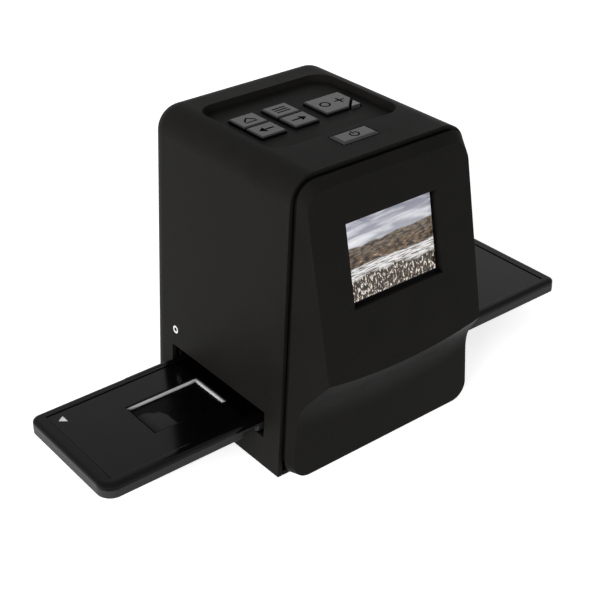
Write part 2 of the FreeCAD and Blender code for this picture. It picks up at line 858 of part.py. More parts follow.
def display_slab(name, width, height, front, depth):
    """A plate behind the panel, centred on the display."""
    return block(name, S.display_x - width / 2, S.display_x + width / 2, front, front + depth,
                 opening_middle - height / 2, opening_middle + height / 2)


glass_width = S.opening_width + S.glass_side_lap * 2
glass_height = S.opening_height + S.glass_end_lap * 2
frame_width = glass_width + S.display_frame_margin * 2
frame_height = glass_height + S.display_frame_margin * 2
frame_back = S.glass_sink + S.display_frame_thickness
bracket_width = frame_width + S.bracket_margin * 2
bracket_height = frame_height + S.bracket_margin * 2
corner_places = [(S.display_x + side * (bracket_width / 2 - S.bracket_screw_inset),
                  opening_middle + rise * (bracket_height / 2 - S.bracket_screw_inset))
                 for side in (-1, 1) for rise in (-1, 1)]
collar = on_panel(join("collar", display_slab("collar_plate", S.opening_width + S.collar_width * 2,
                                              S.opening_height + S.collar_width * 2,
                                              S.wall / 2, S.glass_sink - S.wall / 2),
                       *[rod("display_boss", x, S.wall / 2, z, S.bracket_boss_radius,
                             frame_back - S.wall / 2, ALONG_Y) for x, z in corner_places]))
display_opening = on_panel(join(
    "display_opening",
    display_slab("display_opening_space", S.opening_width, S.opening_height, -S.overrun,
                 S.glass_sink + S.overrun * 2),
    *[small_hole("display_pilot", x, frame_back - S.small_screw_length, z,
                 S.small_screw_length + S.overrun, ALONG_Y) for x, z in corner_places]))
node("front_bezel", cut("front_bezel", join("bezel_body", bezel_shell, tongue, collar), display_opening))

# Display: glass, light guide and metal frame, clamped by a bracket
cell_gap = S.pilot_gap
glass_outline = rectangle(S.display_x - glass_width / 2, S.display_x + glass_width / 2,
                          opening_middle - glass_height / 2, opening_middle + glass_height / 2)
node("display_glass", on_panel(prism("display_glass", XZ, S.glass_sink, S.glass_thickness, glass_outline)))
guide_depth = S.display_frame_thickness - S.display_frame_skin - S.glass_thickness
node("display_light_guide", on_panel(prism("display_light_guide", XZ, S.glass_sink + S.glass_thickness,
                                           guide_depth, glass_outline)))
node("display_frame", on_panel(cut(
    "display_frame",
    display_slab("frame_plate", frame_width, frame_height, S.glass_sink, S.display_frame_thickness),
    display_slab("frame_space", glass_width + cell_gap * 2, glass_height + cell_gap * 2,
                 S.glass_sink - S.overrun, S.display_frame_thickness - S.display_frame_skin + S.overrun))))
node("display_bracket", on_panel(cut(
    "display_bracket",
    display_slab("bracket_plate", bracket_width, bracket_height, frame_back, S.bracket_thickness),
    display_slab("bracket_space", bracket_width - S.bracket_hole_inset * 2,
                 bracket_height - S.bracket_hole_inset * 2, frame_back - S.overrun,
                 S.bracket_thickness + S.overrun * 2),
    *[small_hole("bracket_hole", x, frame_back - S.overrun, z,
                 S.bracket_thickness + S.overrun * 2, ALONG_Y) for x, z in corner_places])))
node("display_screws", on_panel(group("display_screws", [
    small_screw(x, frame_back + S.bracket_thickness, z, DRIVEN_AHEAD) for x, z in corner_places])))

# Base plate, feet and the screws from below
boss_places = both_sides(boss_x, back(S.boss_front), back(boss_back))
leg_places = both_sides(S.channel_leg_x, mid_y - S.channel_leg_y, mid_y + S.channel_leg_y)
base_screw_places = boss_places + leg_places[::3]
foot_places = both_sides(S.base_width / 2 - S.foot_inset, back(S.foot_front), back(foot_back))
plate_side = half_width(S.wall, S.wall + S.shell_fit)
plate_rear = rear - S.wall - S.shell_fit
plate_radius = S.back_radius - S.wall - S.shell_fit
plate = prism("plate_form", XY, up(ZERO), S.wall, [
    (-plate_side, rim), (plate_side, rim), (plate_side, plate_rear, plate_radius),
    (-plate_side, plate_rear, plate_radius)])
plate_cuts = []
for x, y in base_screw_places:
    plate_cuts.append(peg("plate_hole", x, y, up(ZERO) - S.overrun, S.screw_radius + S.pilot_gap,
                          S.wall + S.overrun * 2))
    plate_cuts.append(rod("plate_counterbore", x, y, up(ZERO) - S.overrun,
                          S.screw_head_radius + S.counterbore_gap, S.screw_head_height + S.overrun))
for i in range(VENT_COUNT):
    y = back(S.vent_front) + i * S.vent_pitch
    plate_cuts.append(prism("vent", XY, up(ZERO) - S.overrun, S.wall + S.overrun * 2,
                            rectangle(-S.vent_length / 2, S.vent_length / 2, y, y + S.vent_width)))
node("base_plate", cut("base_plate", plate, *plate_cuts))
node("rubber_feet", group("rubber_feet", [
    rod("foot", x, y, ZERO, S.foot_radius, S.foot_proud) for x, y in foot_places]))
node("base_screws", group("base_screws", [
    screw("base_screw", rod, x, y, up(S.screw_head_height), S.screw_radius, S.screw_length,
          S.screw_head_radius, S.screw_head_height, DRIVEN_UP) for x, y in base_screw_places]))

# Channel for the slide holder, and the gate above it
channel_half = S.base_width / 2 - S.channel_end_gap
channel_top_height = holder_top + S.holder_over_gap
channel_floor_top = S.holder_bottom - S.holder_under_gap
channel_under = channel_floor_top - S.channel_floor
rail_front = back(S.holder_front) - S.holder_side_gap
rail_back = back(S.holder_back) + S.holder_side_gap
channel_front = rail_front - S.channel_rail
channel_back = rail_back + S.channel_rail
light_window = block("light_window", -S.light_window_length / 2, S.light_window_length / 2,
                     mid_y - S.light_window_depth / 2, mid_y + S.light_window_depth / 2,
                     up(channel_under) - S.overrun, up(channel_top_height + S.gate_thickness) + S.overrun)
leaf_flat = S.detent_half_length - S.detent_foot_length
detent_z = up((channel_floor_top + channel_top_height) / 2) - S.detent_height / 2
detent_reach = leaf_flat + S.shell_fit
channel_cuts = [light_window,
                block("detent_window", S.notch_centre - detent_reach, S.notch_centre + detent_reach,
                      rail_back - S.overrun, channel_back + S.overrun,
                      detent_z - S.detent_window_gap, detent_z + S.detent_height + S.detent_window_gap)]
for x, y in leg_places[::3]:
    channel_cuts.append(peg("leg_pilot", x, y, up(S.wall) - S.overrun, S.screw_radius + S.pilot_gap,
                            S.screw_length + S.overrun))
gate_screw_places = both_sides(S.gate_screw_x, channel_front + S.channel_rail / 2,
                               rail_back + S.channel_rail / 2)
for x, y in gate_screw_places:
    channel_cuts.append(small_hole("rail_pilot", x, y, up(channel_top_height) - S.small_screw_length,
                                   S.small_screw_length + S.overrun))
leaf_ends = [S.notch_centre + side * (leaf_flat + S.detent_foot_length / 2) for side in (-1, 1)]
for x in leaf_ends:
    channel_cuts.append(small_hole("rivet_hole", x, channel_back - S.rivet_length,
                                   detent_z + S.detent_height / 2, S.rivet_length + S.overrun, ALONG_Y))
node("film_channel", cut(
    "film_channel",
    join("channel_form",
         block("channel_floor", -channel_half, channel_half, channel_front, channel_back,
               up(channel_under), up(channel_floor_top)),
         block("front_rail", -channel_half, channel_half, channel_front, rail_front,
               up(channel_under), up(channel_top_height)),
         block("rear_rail", -channel_half, channel_half, rail_back, channel_back,
               up(channel_under), up(channel_top_height)),
         *[rod("channel_leg", x, y, up(S.wall), S.channel_leg_radius,
               channel_under - S.wall + S.channel_floor / 2) for x, y in leg_places]),
    *channel_cuts))

gate_low, gate_high = up(channel_top_height), up(channel_top_height + S.gate_thickness)
gate = prism("gate_form", XZ, channel_front, channel_back - channel_front, [
    (-channel_half, gate_low + S.gate_end_rise), (-S.gate_flat_half_length, gate_low),
    (S.gate_flat_half_length, gate_low), (channel_half, gate_low + S.gate_end_rise),
    (channel_half, gate_high + S.gate_end_rise), (S.gate_flat_half_length, gate_high),
    (-S.gate_flat_half_length, gate_high), (-channel_half, gate_high + S.gate_end_rise)])
hood_screw_x = (S.hood_foot_length + S.hood_flange) / 2
hood_screw_y = (S.hood_foot_depth + S.hood_flange) / 2
hood_screw_places = both_sides(hood_screw_x, mid_y - hood_screw_y, mid_y + hood_screw_y)
node("upper_gate", cut("upper_gate", gate, light_window, *[
    small_hole("gate_hole", x, y, gate_low - S.overrun, S.gate_thickness + S.overrun * 2)
    for x, y in gate_screw_places + hood_screw_places]))
node("gate_screws", group("gate_screws", [small_screw(x, y, gate_high) for x, y in gate_screw_places]))

# Detent leaf on the rear rail
leaf_tip = back(S.holder_back) + S.detent_clear
leaf_half = S.detent_half_length
leaf_outline = [
    (-leaf_half, channel_back), (-leaf_flat, channel_back), (-S.detent_nose_half_length, leaf_tip),
    (S.detent_nose_half_length, leaf_tip), (leaf_flat, channel_back), (leaf_half, channel_back),
    (leaf_half, channel_back + S.detent_thickness), (leaf_flat, channel_back + S.detent_thickness),
    (S.detent_nose_half_length, leaf_tip + S.detent_thickness),
    (-S.detent_nose_half_length, leaf_tip + S.detent_thickness),
    (-leaf_flat, channel_back + S.detent_thickness), (-leaf_half, channel_back + S.detent_thickness)]
leaf = prism("leaf_form", XY, detent_z, S.detent_height,
             [(S.notch_centre + x, y) for x, y in leaf_outline])
node("detent_spring", cut("detent_spring", leaf, *[
    small_hole("leaf_hole", x, channel_back - S.overrun, detent_z + S.detent_height / 2,
               S.overrun * 2, ALONG_Y) for x in leaf_ends]))
node("detent_rivets", group("detent_rivets", [
    screw("rivet", peg, x, channel_back + S.detent_thickness, detent_z + S.detent_height / 2,
          S.small_screw_radius, S.rivet_length, S.rivet_head_radius, S.rivet_head_height, DRIVEN_AHEAD)
    for x in leaf_ends]))

# Light box under the channel
box_top = channel_under - S.diffuser_thickness


def around_axis(name, length, depth, low, high, shift_x=ZERO, shift_y=ZERO):
    """A box centred on the optical axis, or beside it."""
    return block(name, shift_x - length / 2, shift_x + length / 2,
                 mid_y + shift_y - depth / 2, mid_y + shift_y + depth / 2, low, high)


box_walls = S.light_box_wall * 2
node("light_box", cut(
    "light_box", around_axis("box_form", S.light_box_length, S.light_box_depth, up(S.wall), up(box_top)),
    around_axis("box_space", S.light_box_length - box_walls, S.light_box_depth - box_walls,
                up(S.wall) + S.light_box_wall, up(box_top) + S.overrun)))
lamp_board_low = up(S.wall) + S.light_box_wall
lamp_margin = S.light_box_wall + S.holder_side_gap
node("lamp_board", around_axis(
    "lamp_board", S.light_box_length - lamp_margin * 2, S.light_box_depth - lamp_margin * 2,
    lamp_board_low, lamp_board_low + S.board_thickness))
lamp_low = lamp_board_low + S.board_thickness
node("lamps", group("lamps", [
    around_axis("lamp", S.lamp_length, S.lamp_depth, lamp_low, lamp_low + S.lamp_height,
                column * S.lamp_pitch_x, row * S.lamp_pitch_y / 2)
    for column in (-1, 0, 1) for row in (-1, 1)]))
node("diffuser", around_axis("diffuser", S.light_box_length, S.light_box_depth,
                             up(box_top), up(channel_under)))

# Optics above the gate: hood, sensor board, lens
hood_low, hood_top = gate_high, up(ledge) - S.hood_drop
hood_shoulder = hood_top - S.hood_neck


def hood_outline(length, depth, inset):
    half_x, half_y = length / 2 - inset, depth / 2 - inset
    return rectangle(-half_x, half_x, mid_y - half_y, mid_y + half_y)


def hood_sections(inset, extra):
    """The hood's outlines from the gate up to the sensor board."""
    foot = hood_outline(S.hood_foot_length, S.hood_foot_depth, inset)
    head = hood_outline(S.hood_side, S.hood_side, inset)
    sections = [(hood_low, foot), (hood_shoulder, head), (hood_top + extra, head)]
    return sections if extra is ZERO else [(hood_low - extra, foot)] + sections


sensor_screw = S.sensor_board_side / 2 - S.sensor_screw_inset
sensor_screw_places = both_sides(sensor_screw, mid_y - sensor_screw, mid_y + sensor_screw)
node("optics_hood", cut(
    "optics_hood",
    join("hood_form", loft("hood_outer", XY, hood_sections(ZERO, ZERO)),
         around_axis("hood_flange", S.hood_foot_length + S.hood_flange * 2,
                     S.hood_foot_depth + S.hood_flange * 2, hood_low, hood_low + S.hood_flange_thickness),
         around_axis("hood_shelf", S.sensor_board_side, S.sensor_board_side,
                     hood_top - S.hood_flange_thickness, hood_top)),
    loft("hood_inner", XY, hood_sections(S.hood_wall, S.overrun)),
    *[small_hole("flange_hole", x, y, hood_low - S.overrun, S.hood_flange_thickness + S.overrun * 2)
      for x, y in hood_screw_places],
    *[small_hole("shelf_pilot", x, y, hood_top - S.hood_flange_thickness - S.overrun,
                 S.hood_flange_thickness + S.overrun * 2) for x, y in sensor_screw_places]))
node("hood_screws", group("hood_screws", [
    small_screw(x, y, hood_low + S.hood_flange_thickness) for x, y in hood_screw_places]))
node("sensor_board", cut("sensor_board", around_axis(
    "sensor_board_form", S.sensor_board_side, S.sensor_board_side, hood_top, hood_top + S.board_thickness),
    *[small_hole("sensor_board_hole", x, y, hood_top - S.overrun, S.board_thickness + S.overrun * 2)
      for x, y in sensor_screw_places]))
node("sensor_screws", group("sensor_screws", [
    small_screw(x, y, hood_top + S.board_thickness) for x, y in sensor_screw_places]))
node("image_sensor", around_axis("image_sensor", S.sensor_side, S.sensor_side, hood_top - S.sensor_thickness,
                                 hood_top))
filter_low = hood_top - S.sensor_thickness - S.filter_gap - S.filter_thickness
node("infrared_filter", around_axis("infrared_filter", S.filter_side, S.filter_side, filter_low,
                                    filter_low + S.filter_thickness))
mount_low = hood_top - S.lens_mount_drop
node("lens_mount", cut(
    "lens_mount",
    join("lens_mount_form",
         around_axis("lens_mount_body", S.lens_mount_side, S.lens_mount_side, mount_low, hood_top),
         around_axis("lens_mount_flange", S.lens_mount_side + S.lens_mount_flange * 2, S.lens_mount_side,
                     hood_top - S.board_thickness, hood_top)),
    around_axis("filter_chamber", S.filter_side + S.pilot_gap * 2, S.filter_side + S.pilot_gap * 2,
                filter_low, hood_top + S.overrun),
    rod("lens_mount_space", ZERO, mid_y, mount_low - S.overrun, S.lens_mount_bore,
        filter_low - mount_low + S.overrun)))
barrel_top = filter_low - S.barrel_stand_off
barrel_low = barrel_top - S.barrel_length
node("lens_barrel", place(turned(
    "lens_barrel", (S.barrel_bore, ZERO), (S.barrel_head_radius, ZERO),
    (S.barrel_head_radius, S.barrel_head_length), (S.barrel_radius, S.barrel_head_length),
    (S.barrel_radius, S.barrel_length), (S.barrel_bore, S.barrel_length)), ZERO, mid_y, barrel_low))


def lens(name, middle):
    """A lens with two curved faces, set across the optical axis."""
    crown_radius = (S.lens_radius * S.lens_radius + S.lens_crown * S.lens_crown) / (S.lens_crown * 2)
    edge = rod(name + "_edge", ZERO, mid_y, middle - S.lens_edge / 2 - S.lens_crown, S.lens_radius,
               S.lens_edge + S.lens_crown * 2)
    centre_shift = S.lens_edge / 2 + S.lens_crown - crown_radius
    faces = []
    for side in (-1, 1):
        ball = doc.addObject("Part::Sphere", name + "_face")
        ball.Radius = crown_radius.value
        bind(ball, "Radius", crown_radius)
        faces.append(place(ball, ZERO, mid_y, middle + side * centre_shift))
    return node(name, common(name, edge, *faces))


lens_inset = S.lens_crown + S.lens_edge
lens("front_lens", barrel_low + lens_inset)
lens("rear_lens", barrel_top - lens_inset)

# Keys, their switches and the board that carries them
square_key = (S.key_width, S.key_depth, None)
in_tray = (recess_under, recess_floor + S.key_proud, S.key_bevel_run, S.key_bevel_rise)
in_top = (top_under, top + S.power_key_proud, S.power_bevel_run, S.power_bevel_rise)
keys = {
    "upper_left": (S.key_left_x, row_back_y, *square_key, *in_tray),
    "lower_left": (S.key_left_x, row_front_y, *square_key, *in_tray),
    "upper_middle": (S.key_middle_x, row_back_y, *square_key, *in_tray),
    "lower_middle": (S.key_middle_x, row_front_y, *square_key, *in_tray),
    "wide": (S.wide_key_x, wide_y, S.wide_key_width, S.wide_key_depth, S.wide_key_chamfer, *in_tray),
    "power": (ZERO, back(S.power_key_y), S.power_key_width, S.power_key_depth, None, *in_top),
}
switches = []


def post(name, x, y, side, low, high):
    """A square upright bar centred on a point."""
    return block(name, x - side / 2, x + side / 2, y - side / 2, y + side / 2, low, high)


for name, (x, y, width, depth, chamfer, under, level, bevel_run, bevel_rise) in keys.items():
    ear_top = under - S.key_seat_gap
    ear_low = ear_top - S.key_flange_thickness
    shoulder = level - bevel_rise
    skirt = prism(name + "_key_skirt", XY, ear_low, shoulder - ear_low,
                  key_outline(x, y, width, depth, ZERO, chamfer))
    crown = loft(name + "_key_crown", XY, [
        (shoulder, key_outline(x, y, width, depth, ZERO, chamfer)),
        (level, key_outline(x, y, width, depth, -bevel_run, chamfer))])
    ear_front = y - depth / 2 + (ZERO if chamfer is None else chamfer + S.key_gap)
    ears = block(name + "_key_ears", x - width / 2 - S.key_ear, x + width / 2 + S.key_ear,
                 ear_front, y + depth / 2, ear_low, ear_top)
    space = prism(name + "_key_space", XY, ear_low - S.overrun, level - S.key_wall - ear_low + S.overrun,
                  key_outline(x, y, width, depth, -S.key_wall, chamfer))
    stem = post(name + "_stem", x, y, S.stem_side, plunger_top, level - S.key_wall / 2)
    label = f"{name}_key"
    node(label, join(label, cut(label + "_shell", join(label + "_body", skirt, crown, ears), space), stem))
    label = f"{name}_plunger"
    node(label, post(label, x, y, S.plunger_side, plunger_top - S.plunger_length, plunger_top))
    switches.append(cut(
        name + "_switch",
        post(name + "_switch_form", x, y, S.switch_side, key_board_top, switch_top),
        post(name + "_switch_space", x, y, S.plunger_side + S.plunger_play * 2,
             key_board_top + S.switch_floor, switch_top + S.overrun)))
node("key_switches", group("key_switches", switches))
key_board_low = key_board_top - S.board_thickness
post_places = both_sides(key_post_x, *[back(depth) for depth in key_post_depths])
node("key_board", cut("key_board", block(
    "key_board_form", -key_board_half, key_board_half, back(S.key_board_front),
    back(key_board_back), key_board_low, key_board_top),
    *[small_hole("key_board_hole", x, y, key_board_low - S.overrun, S.board_thickness + S.overrun * 2)
      for x, y in post_places]))
node("key_board_screws", group("key_board_screws", [
    small_screw(x, y, key_board_low, DRIVEN_UP) for x, y in post_places]))
lens_outline = pipe_outline(ZERO)
pipe_x = (lens_outline[0][0] + lens_outline[1][0] * 2) / 3
pipe_y = (lens_outline[0][1] * 2 + lens_outline[2][1]) / 3
lamp_top = key_board_top + S.indicator_height
pipe_low = lamp_top + S.holder_under_gap
node("indicator_light_pipe", join(
    "indicator_light_pipe",
    prism("pipe_lens", XY, recess_under - S.pipe_flange / 2, recess_floor + S.pipe_proud - recess_under
          + S.pipe_flange / 2, lens_outline),
    prism("pipe_flange", XY, recess_under - S.pipe_flange, S.pipe_flange, pipe_outline(S.pipe_flange_spread)),
    rod("pipe_stem", pipe_x, pipe_y, pipe_low, S.pipe_radius, recess_under - pipe_low)))
node("indicator_lamp", post("indicator_lamp", pipe_x, pipe_y, S.indicator_side, key_board_top, lamp_top))

# Main board on the side ledges, with the sockets on its rear edge
board_rear = rear - S.wall - S.main_board_gap
board_radius = S.back_radius - S.wall
main_screw_places = both_sides(board_half - S.main_screw_inset, *[back(depth) for depth in main_screw_depths])
node("main_board", cut("main_board", prism("main_board_form", XY, up(ledge), S.board_thickness, [
    (-board_half, back(S.main_board_front)), (board_half, back(S.main_board_front)),
    (board_half, board_rear, board_radius), (-board_half, board_rear, board_radius)]),
    *[small_hole("main_board_hole", x, y, up(ledge) - S.overrun, S.board_thickness + S.overrun * 2)
      for x, y in main_screw_places]))
node("main_board_screws", group("main_board_screws", [
    small_screw(x, y, board_top) for x, y in main_screw_places]))
node("board_chips", group("board_chips", [
    block("processor", -S.processor_side / 2, S.processor_side / 2, back(S.chip_y) - S.processor_side / 2,
          back(S.chip_y) + S.processor_side / 2, board_top, board_top + S.processor_height),
    *[block("memory", side * S.memory_x - S.memory_width / 2, side * S.memory_x + S.memory_width / 2,
            back(S.chip_y) - S.memory_length / 2, back(S.chip_y) + S.memory_length / 2, board_top,
            board_top + S.memory_height) for side in (-1, 1)]]))
socket_rear = rear - S.socket_sink
usb_front = socket_rear - S.usb_length
node("usb_socket", join(
    "usb_socket",
    cut("usb_shell",
        block("usb_form", S.usb_x - S.usb_width / 2, S.usb_x + S.usb_width / 2, usb_front, socket_rear,
              board_top, board_top + S.usb_height),
        block("usb_space", S.usb_x - S.usb_width / 2 + S.usb_wall, S.usb_x + S.usb_width / 2 - S.usb_wall,
              usb_front + S.usb_wall, socket_rear + S.overrun, board_top + S.usb_wall,
              board_top + S.usb_height - S.usb_wall)),
    block("usb_tongue", S.usb_x - S.usb_tongue_width / 2, S.usb_x + S.usb_tongue_width / 2,
          usb_front + S.usb_wall / 2, socket_rear - S.usb_tongue_thickness,
          board_top + (S.usb_height - S.usb_tongue_thickness) / 2,
          board_top + (S.usb_height + S.usb_tongue_thickness) / 2)))
card_slot_low = board_top + (S.card_height - S.card_slot_height) / 2
node("card_socket", cut(
    "card_socket",
    block("card_form", S.card_x - S.card_width / 2, S.card_x + S.card_width / 2, socket_rear - S.card_length,
          socket_rear, board_top, board_top + S.card_height),
    block("card_space", S.card_x - S.card_slot_width / 2, S.card_x + S.card_slot_width / 2,
          socket_rear - S.card_slot_depth, socket_rear + S.overrun, card_slot_low,
          card_slot_low + S.card_slot_height)))
jack_rear = rear - S.wall - S.socket_gap
node("video_jack", cut(
    "video_jack",
    join("jack_form",
         block("jack_body", S.jack_x - S.jack_width / 2, S.jack_x + S.jack_width / 2,
               jack_rear - S.jack_length, jack_rear, board_top, board_top + S.jack_height),
         rod("jack_nose", S.jack_x, jack_rear - S.wall, jack_z, S.jack_ring, socket_rear - jack_rear + S.wall,
             ALONG_Y)),
    rod("jack_space", S.jack_x, socket_rear - S.jack_depth, jack_z, S.jack_bore, S.jack_depth + S.overrun,
        ALONG_Y)))

# Slide holder: a base, a hinged cover with its inlay, and three mounted slides
seam = S.holder_bottom + S.holder_base_thickness
inlay_low = holder_top - S.inlay_sink - S.inlay_thickness
mount_top = inlay_low - S.cover_skin
mount_bottom = mount_top - S.mount_thickness
holder_left, holder_right = S.holder_shift - S.holder_length / 2, S.holder_shift + S.holder_length / 2
holder_y0, holder_y1 = back(S.holder_front), back(S.holder_back)
holder_corners = [
    (holder_left, holder_y0, S.holder_corner_radius), (holder_right, holder_y0, S.holder_right_radius),
    (holder_right, holder_y1, S.holder_rear_radius), (holder_left, holder_y1, S.holder_rear_radius)]
pitches = [step * S.window_pitch for step in (-1, 0, 1)]
hinge_y = holder_y1 - S.hinge_radius
hinge_z = up(holder_top) - S.hinge_radius
hinge_front = holder_y1 - S.hinge_radius * 2


def frame_space(name, middle, length, depth, low, high):
    """A rectangular space centred on a slide position."""
    return block(name, middle - length / 2, middle + length / 2, mid_y - depth / 2, mid_y + depth / 2,
                 up(low), up(high))


def notch(name, middle, edge, inward, low, high):
    """A shallow notch with sloping flanks in a long edge of the holder."""
    half = S.notch_length / 2
    mouth = half + S.notch_flank * (S.notch_depth + S.overrun) / S.notch_depth
    outside, bottom = edge - inward * S.overrun, edge + inward * S.notch_depth
    return prism(name, XY, low, high - low, [
        (middle - mouth, outside), (middle - half, bottom), (middle + half, bottom), (middle + mouth, outside)])


rear_notches = [notch("rear_notch", S.notch_centre + pitch, holder_y1, -1, up(S.holder_bottom) - S.overrun,
                      up(holder_top) + S.overrun) for pitch in pitches]
front_notches = [notch("front_notch", side * S.front_notch_x, holder_y0, 1, up(S.holder_bottom) - S.overrun,
                       up(S.holder_bottom) + S.front_notch_height) for side in (-1, 1)]
base_slab = prism("holder_base_slab", XY, up(S.holder_bottom), S.holder_base_thickness, holder_corners)
base_form = rounded("holder_base_form", base_slab, lambda edge: at_height(edge, up(S.holder_bottom)),
                    S.base_edge_chamfer, True)
knuckles = []
knuckle_bores = []
hinge_gaps = []
pins = []
for side in (-1, 1):
    first = S.hinge_inner if side > 0 else -S.hinge_outer
    span = S.hinge_outer - S.hinge_inner
    knuckles.append(rod("knuckle", first, hinge_y, hinge_z, S.hinge_radius, span, ALONG_X))
    knuckles.append(block("knuckle_web", first, first + span, hinge_front, holder_y1,
                          up(seam) - S.holder_base_thickness / 2, hinge_z))
    pin_first, pin_length = first - S.hinge_pin_reach, span + S.hinge_pin_reach * 2
    pins.append(peg("pin", pin_first, hinge_y, hinge_z, S.hinge_pin_radius, pin_length, ALONG_X))
    knuckle_bores.append(peg("pin_bore", pin_first, hinge_y, hinge_z, S.hinge_pin_radius + S.hinge_pin_play,
                             pin_length, ALONG_X))
    hinge_gaps.append(block("hinge_gap", first - S.hinge_gap, first + span + S.hinge_gap,
                            hinge_front - S.hinge_gap, holder_y1 + S.overrun,
                            up(seam) - S.overrun, up(holder_top) + S.overrun))
window_low, window_high = S.holder_bottom - S.overrun, holder_top + S.overrun
window_grow, mount_space_side = S.base_window_margin * 2, S.mount_side + S.mount_gap * 2
base_windows = [frame_space("base_window", pitch, S.window_length + window_grow, S.window_depth + window_grow,
                            window_low, window_high) for pitch in pitches]
mount_spaces = [frame_space("mount_space", pitch, mount_space_side, mount_space_side, mount_bottom, mount_top)
                for pitch in pitches]
node("holder_base", cut("holder_base", join("holder_base_body", base_form, *knuckles), *base_windows,
                        *mount_spaces, *rear_notches, *front_notches, *knuckle_bores))


def inlay_outline(grow):
    return rectangle(holder_left + S.inlay_end_margin - grow, holder_right - S.inlay_end_margin + grow,
                     holder_y0 + S.inlay_front_margin - grow, holder_y1 - S.inlay_back_margin + grow,
                     S.inlay_corner_radius + grow)


cover_windows = [frame_space("cover_window", pitch, S.window_length, S.window_depth, window_low, window_high)
                 for pitch in pitches]
cover_slab = prism("holder_cover_slab", XY, up(seam), S.holder_cover_thickness, holder_corners)
cover_form = rounded("holder_cover_form", cover_slab, lambda edge: at_height(edge, up(holder_top)),
                     S.cover_edge_radius)
node("holder_cover", cut(
    "holder_cover", cover_form,
    prism("inlay_space", XY, up(inlay_low), S.holder_cover_thickness, inlay_outline(S.inlay_gap)),
    *cover_windows, *mount_spaces, *rear_notches, *hinge_gaps, *knuckle_bores))
node("cover_inlay", cut("cover_inlay", prism("inlay_form", XY, up(inlay_low), S.inlay_thickness,
                                             inlay_outline(ZERO)), *cover_windows))
node("hinge_pins", group("hinge_pins", pins))
picture_length = S.window_length - S.mount_rim * 2
picture_depth = S.window_depth - S.mount_rim * 2
film_high = (mount_bottom + mount_top + S.film_thickness) / 2
film_length = picture_length + S.film_border * 2
film_depth = picture_depth + S.film_border * 2
node("slide_mounts", group("slide_mounts", [
    cut("slide_mount", frame_space("mount_form", pitch, S.mount_side, S.mount_side, mount_bottom, mount_top),
        frame_space("picture_space", pitch, picture_length, picture_depth, window_low, window_high),
        frame_space("film_space", pitch, film_length, film_depth, window_low, film_high))
    for pitch in pitches]))
node("slide_films", group("slide_films", [
    frame_space("film", pitch, film_length, film_depth, film_high - S.film_thickness, film_high)
    for pitch in pitches]))

doc.recompute()
for thing in doc.Objects:
    if "Invalid" in thing.State or "Error" in thing.State:
        raise RuntimeError(f"{thing.Label} did not build: {thing.State}")
os.makedirs("parts", exist_ok=True)
to_middle = Vector(-S.holder_shift.value, 0, 0)
for name, thing in nodes.items():
    shape = thing.Shape
    if shape.isNull() or not shape.isValid() or not shape.Solids:
        raise RuntimeError(f"{name} has no valid shape")
    shape.translated(to_middle).exportStep(f"parts/{name}.step")
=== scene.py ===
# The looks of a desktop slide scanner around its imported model: camera, light, finishes and printed marks.
import json
import math

import bmesh
import bpy
from mathutils import Matrix, Quaternion, Vector


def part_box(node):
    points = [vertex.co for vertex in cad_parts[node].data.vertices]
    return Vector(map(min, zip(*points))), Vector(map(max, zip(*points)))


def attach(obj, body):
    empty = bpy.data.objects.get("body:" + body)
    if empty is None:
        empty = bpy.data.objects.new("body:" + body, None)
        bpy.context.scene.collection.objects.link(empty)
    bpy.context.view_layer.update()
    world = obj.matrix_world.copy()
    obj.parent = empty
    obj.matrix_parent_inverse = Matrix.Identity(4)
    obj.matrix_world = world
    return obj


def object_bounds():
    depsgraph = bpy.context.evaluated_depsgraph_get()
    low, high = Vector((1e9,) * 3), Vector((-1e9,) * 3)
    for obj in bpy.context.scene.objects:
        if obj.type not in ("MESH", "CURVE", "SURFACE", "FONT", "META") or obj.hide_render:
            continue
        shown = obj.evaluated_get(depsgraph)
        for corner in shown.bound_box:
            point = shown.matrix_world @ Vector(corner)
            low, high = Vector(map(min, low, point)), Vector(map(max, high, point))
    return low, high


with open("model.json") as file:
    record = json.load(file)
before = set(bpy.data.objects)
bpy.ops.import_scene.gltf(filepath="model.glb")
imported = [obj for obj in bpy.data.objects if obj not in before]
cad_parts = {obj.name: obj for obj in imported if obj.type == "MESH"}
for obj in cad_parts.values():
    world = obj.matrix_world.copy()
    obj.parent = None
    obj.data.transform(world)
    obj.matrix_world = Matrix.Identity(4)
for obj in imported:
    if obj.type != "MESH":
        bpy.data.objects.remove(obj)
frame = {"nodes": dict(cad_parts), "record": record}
cad_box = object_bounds()
scene = bpy.context.scene
MM = 0.001

# Camera, placed from the photograph's perspective
LENS = 76.33
SENSOR = 36.0
CAMERA_PLACE = Vector((-317.5, -384.25, 349.8)) * MM
CAMERA_AZIMUTH = -38.293
CAMERA_ELEVATION = 31.019
CAMERA_ROLL = -0.514

# Light: the pale room's fill, a large lamp at the left and a weak one in front, in watts and metres
FILL = 0.3
LAMP_SIZE = 1.1
KEY_POWER, KEY_PLACE = 38.0, Vector((-1.5, -0.5, 0.34))
SIDE_POWER, SIDE_PLACE = 6.5, Vector((0.3, -1.55, 0.36))
FLOOR_HALF = 8.0
FLOOR_WHITE = 0.93
FLOOR_GLOW = 0.72
PAPER_GRAIN = 0.02
PAPER_SHADE = 0.99

# Finishes: sizes of grain and wear, the reach of the painted shade in narrow gaps, and the spans that noise
# and open faces mostly cover
GRAIN = 0.35 * MM
SPARK_DEPTH = 0.012 * MM
PATCH = 18 * MM
BEVEL = 0.35 * MM
WEAR_REACH = 0.5 * MM
GAP_SHADE_REACH = 3 * MM
BEVEL_SAMPLES = 6
NOISE_SPAN = (0.3, 0.7)
OPEN_SPAN = (0.35, 0.8)
HAIR_STRETCH = (0.08, 1.0, 1.0)
BRUSH_STRETCH = (0.05, 1.0, 1.0)

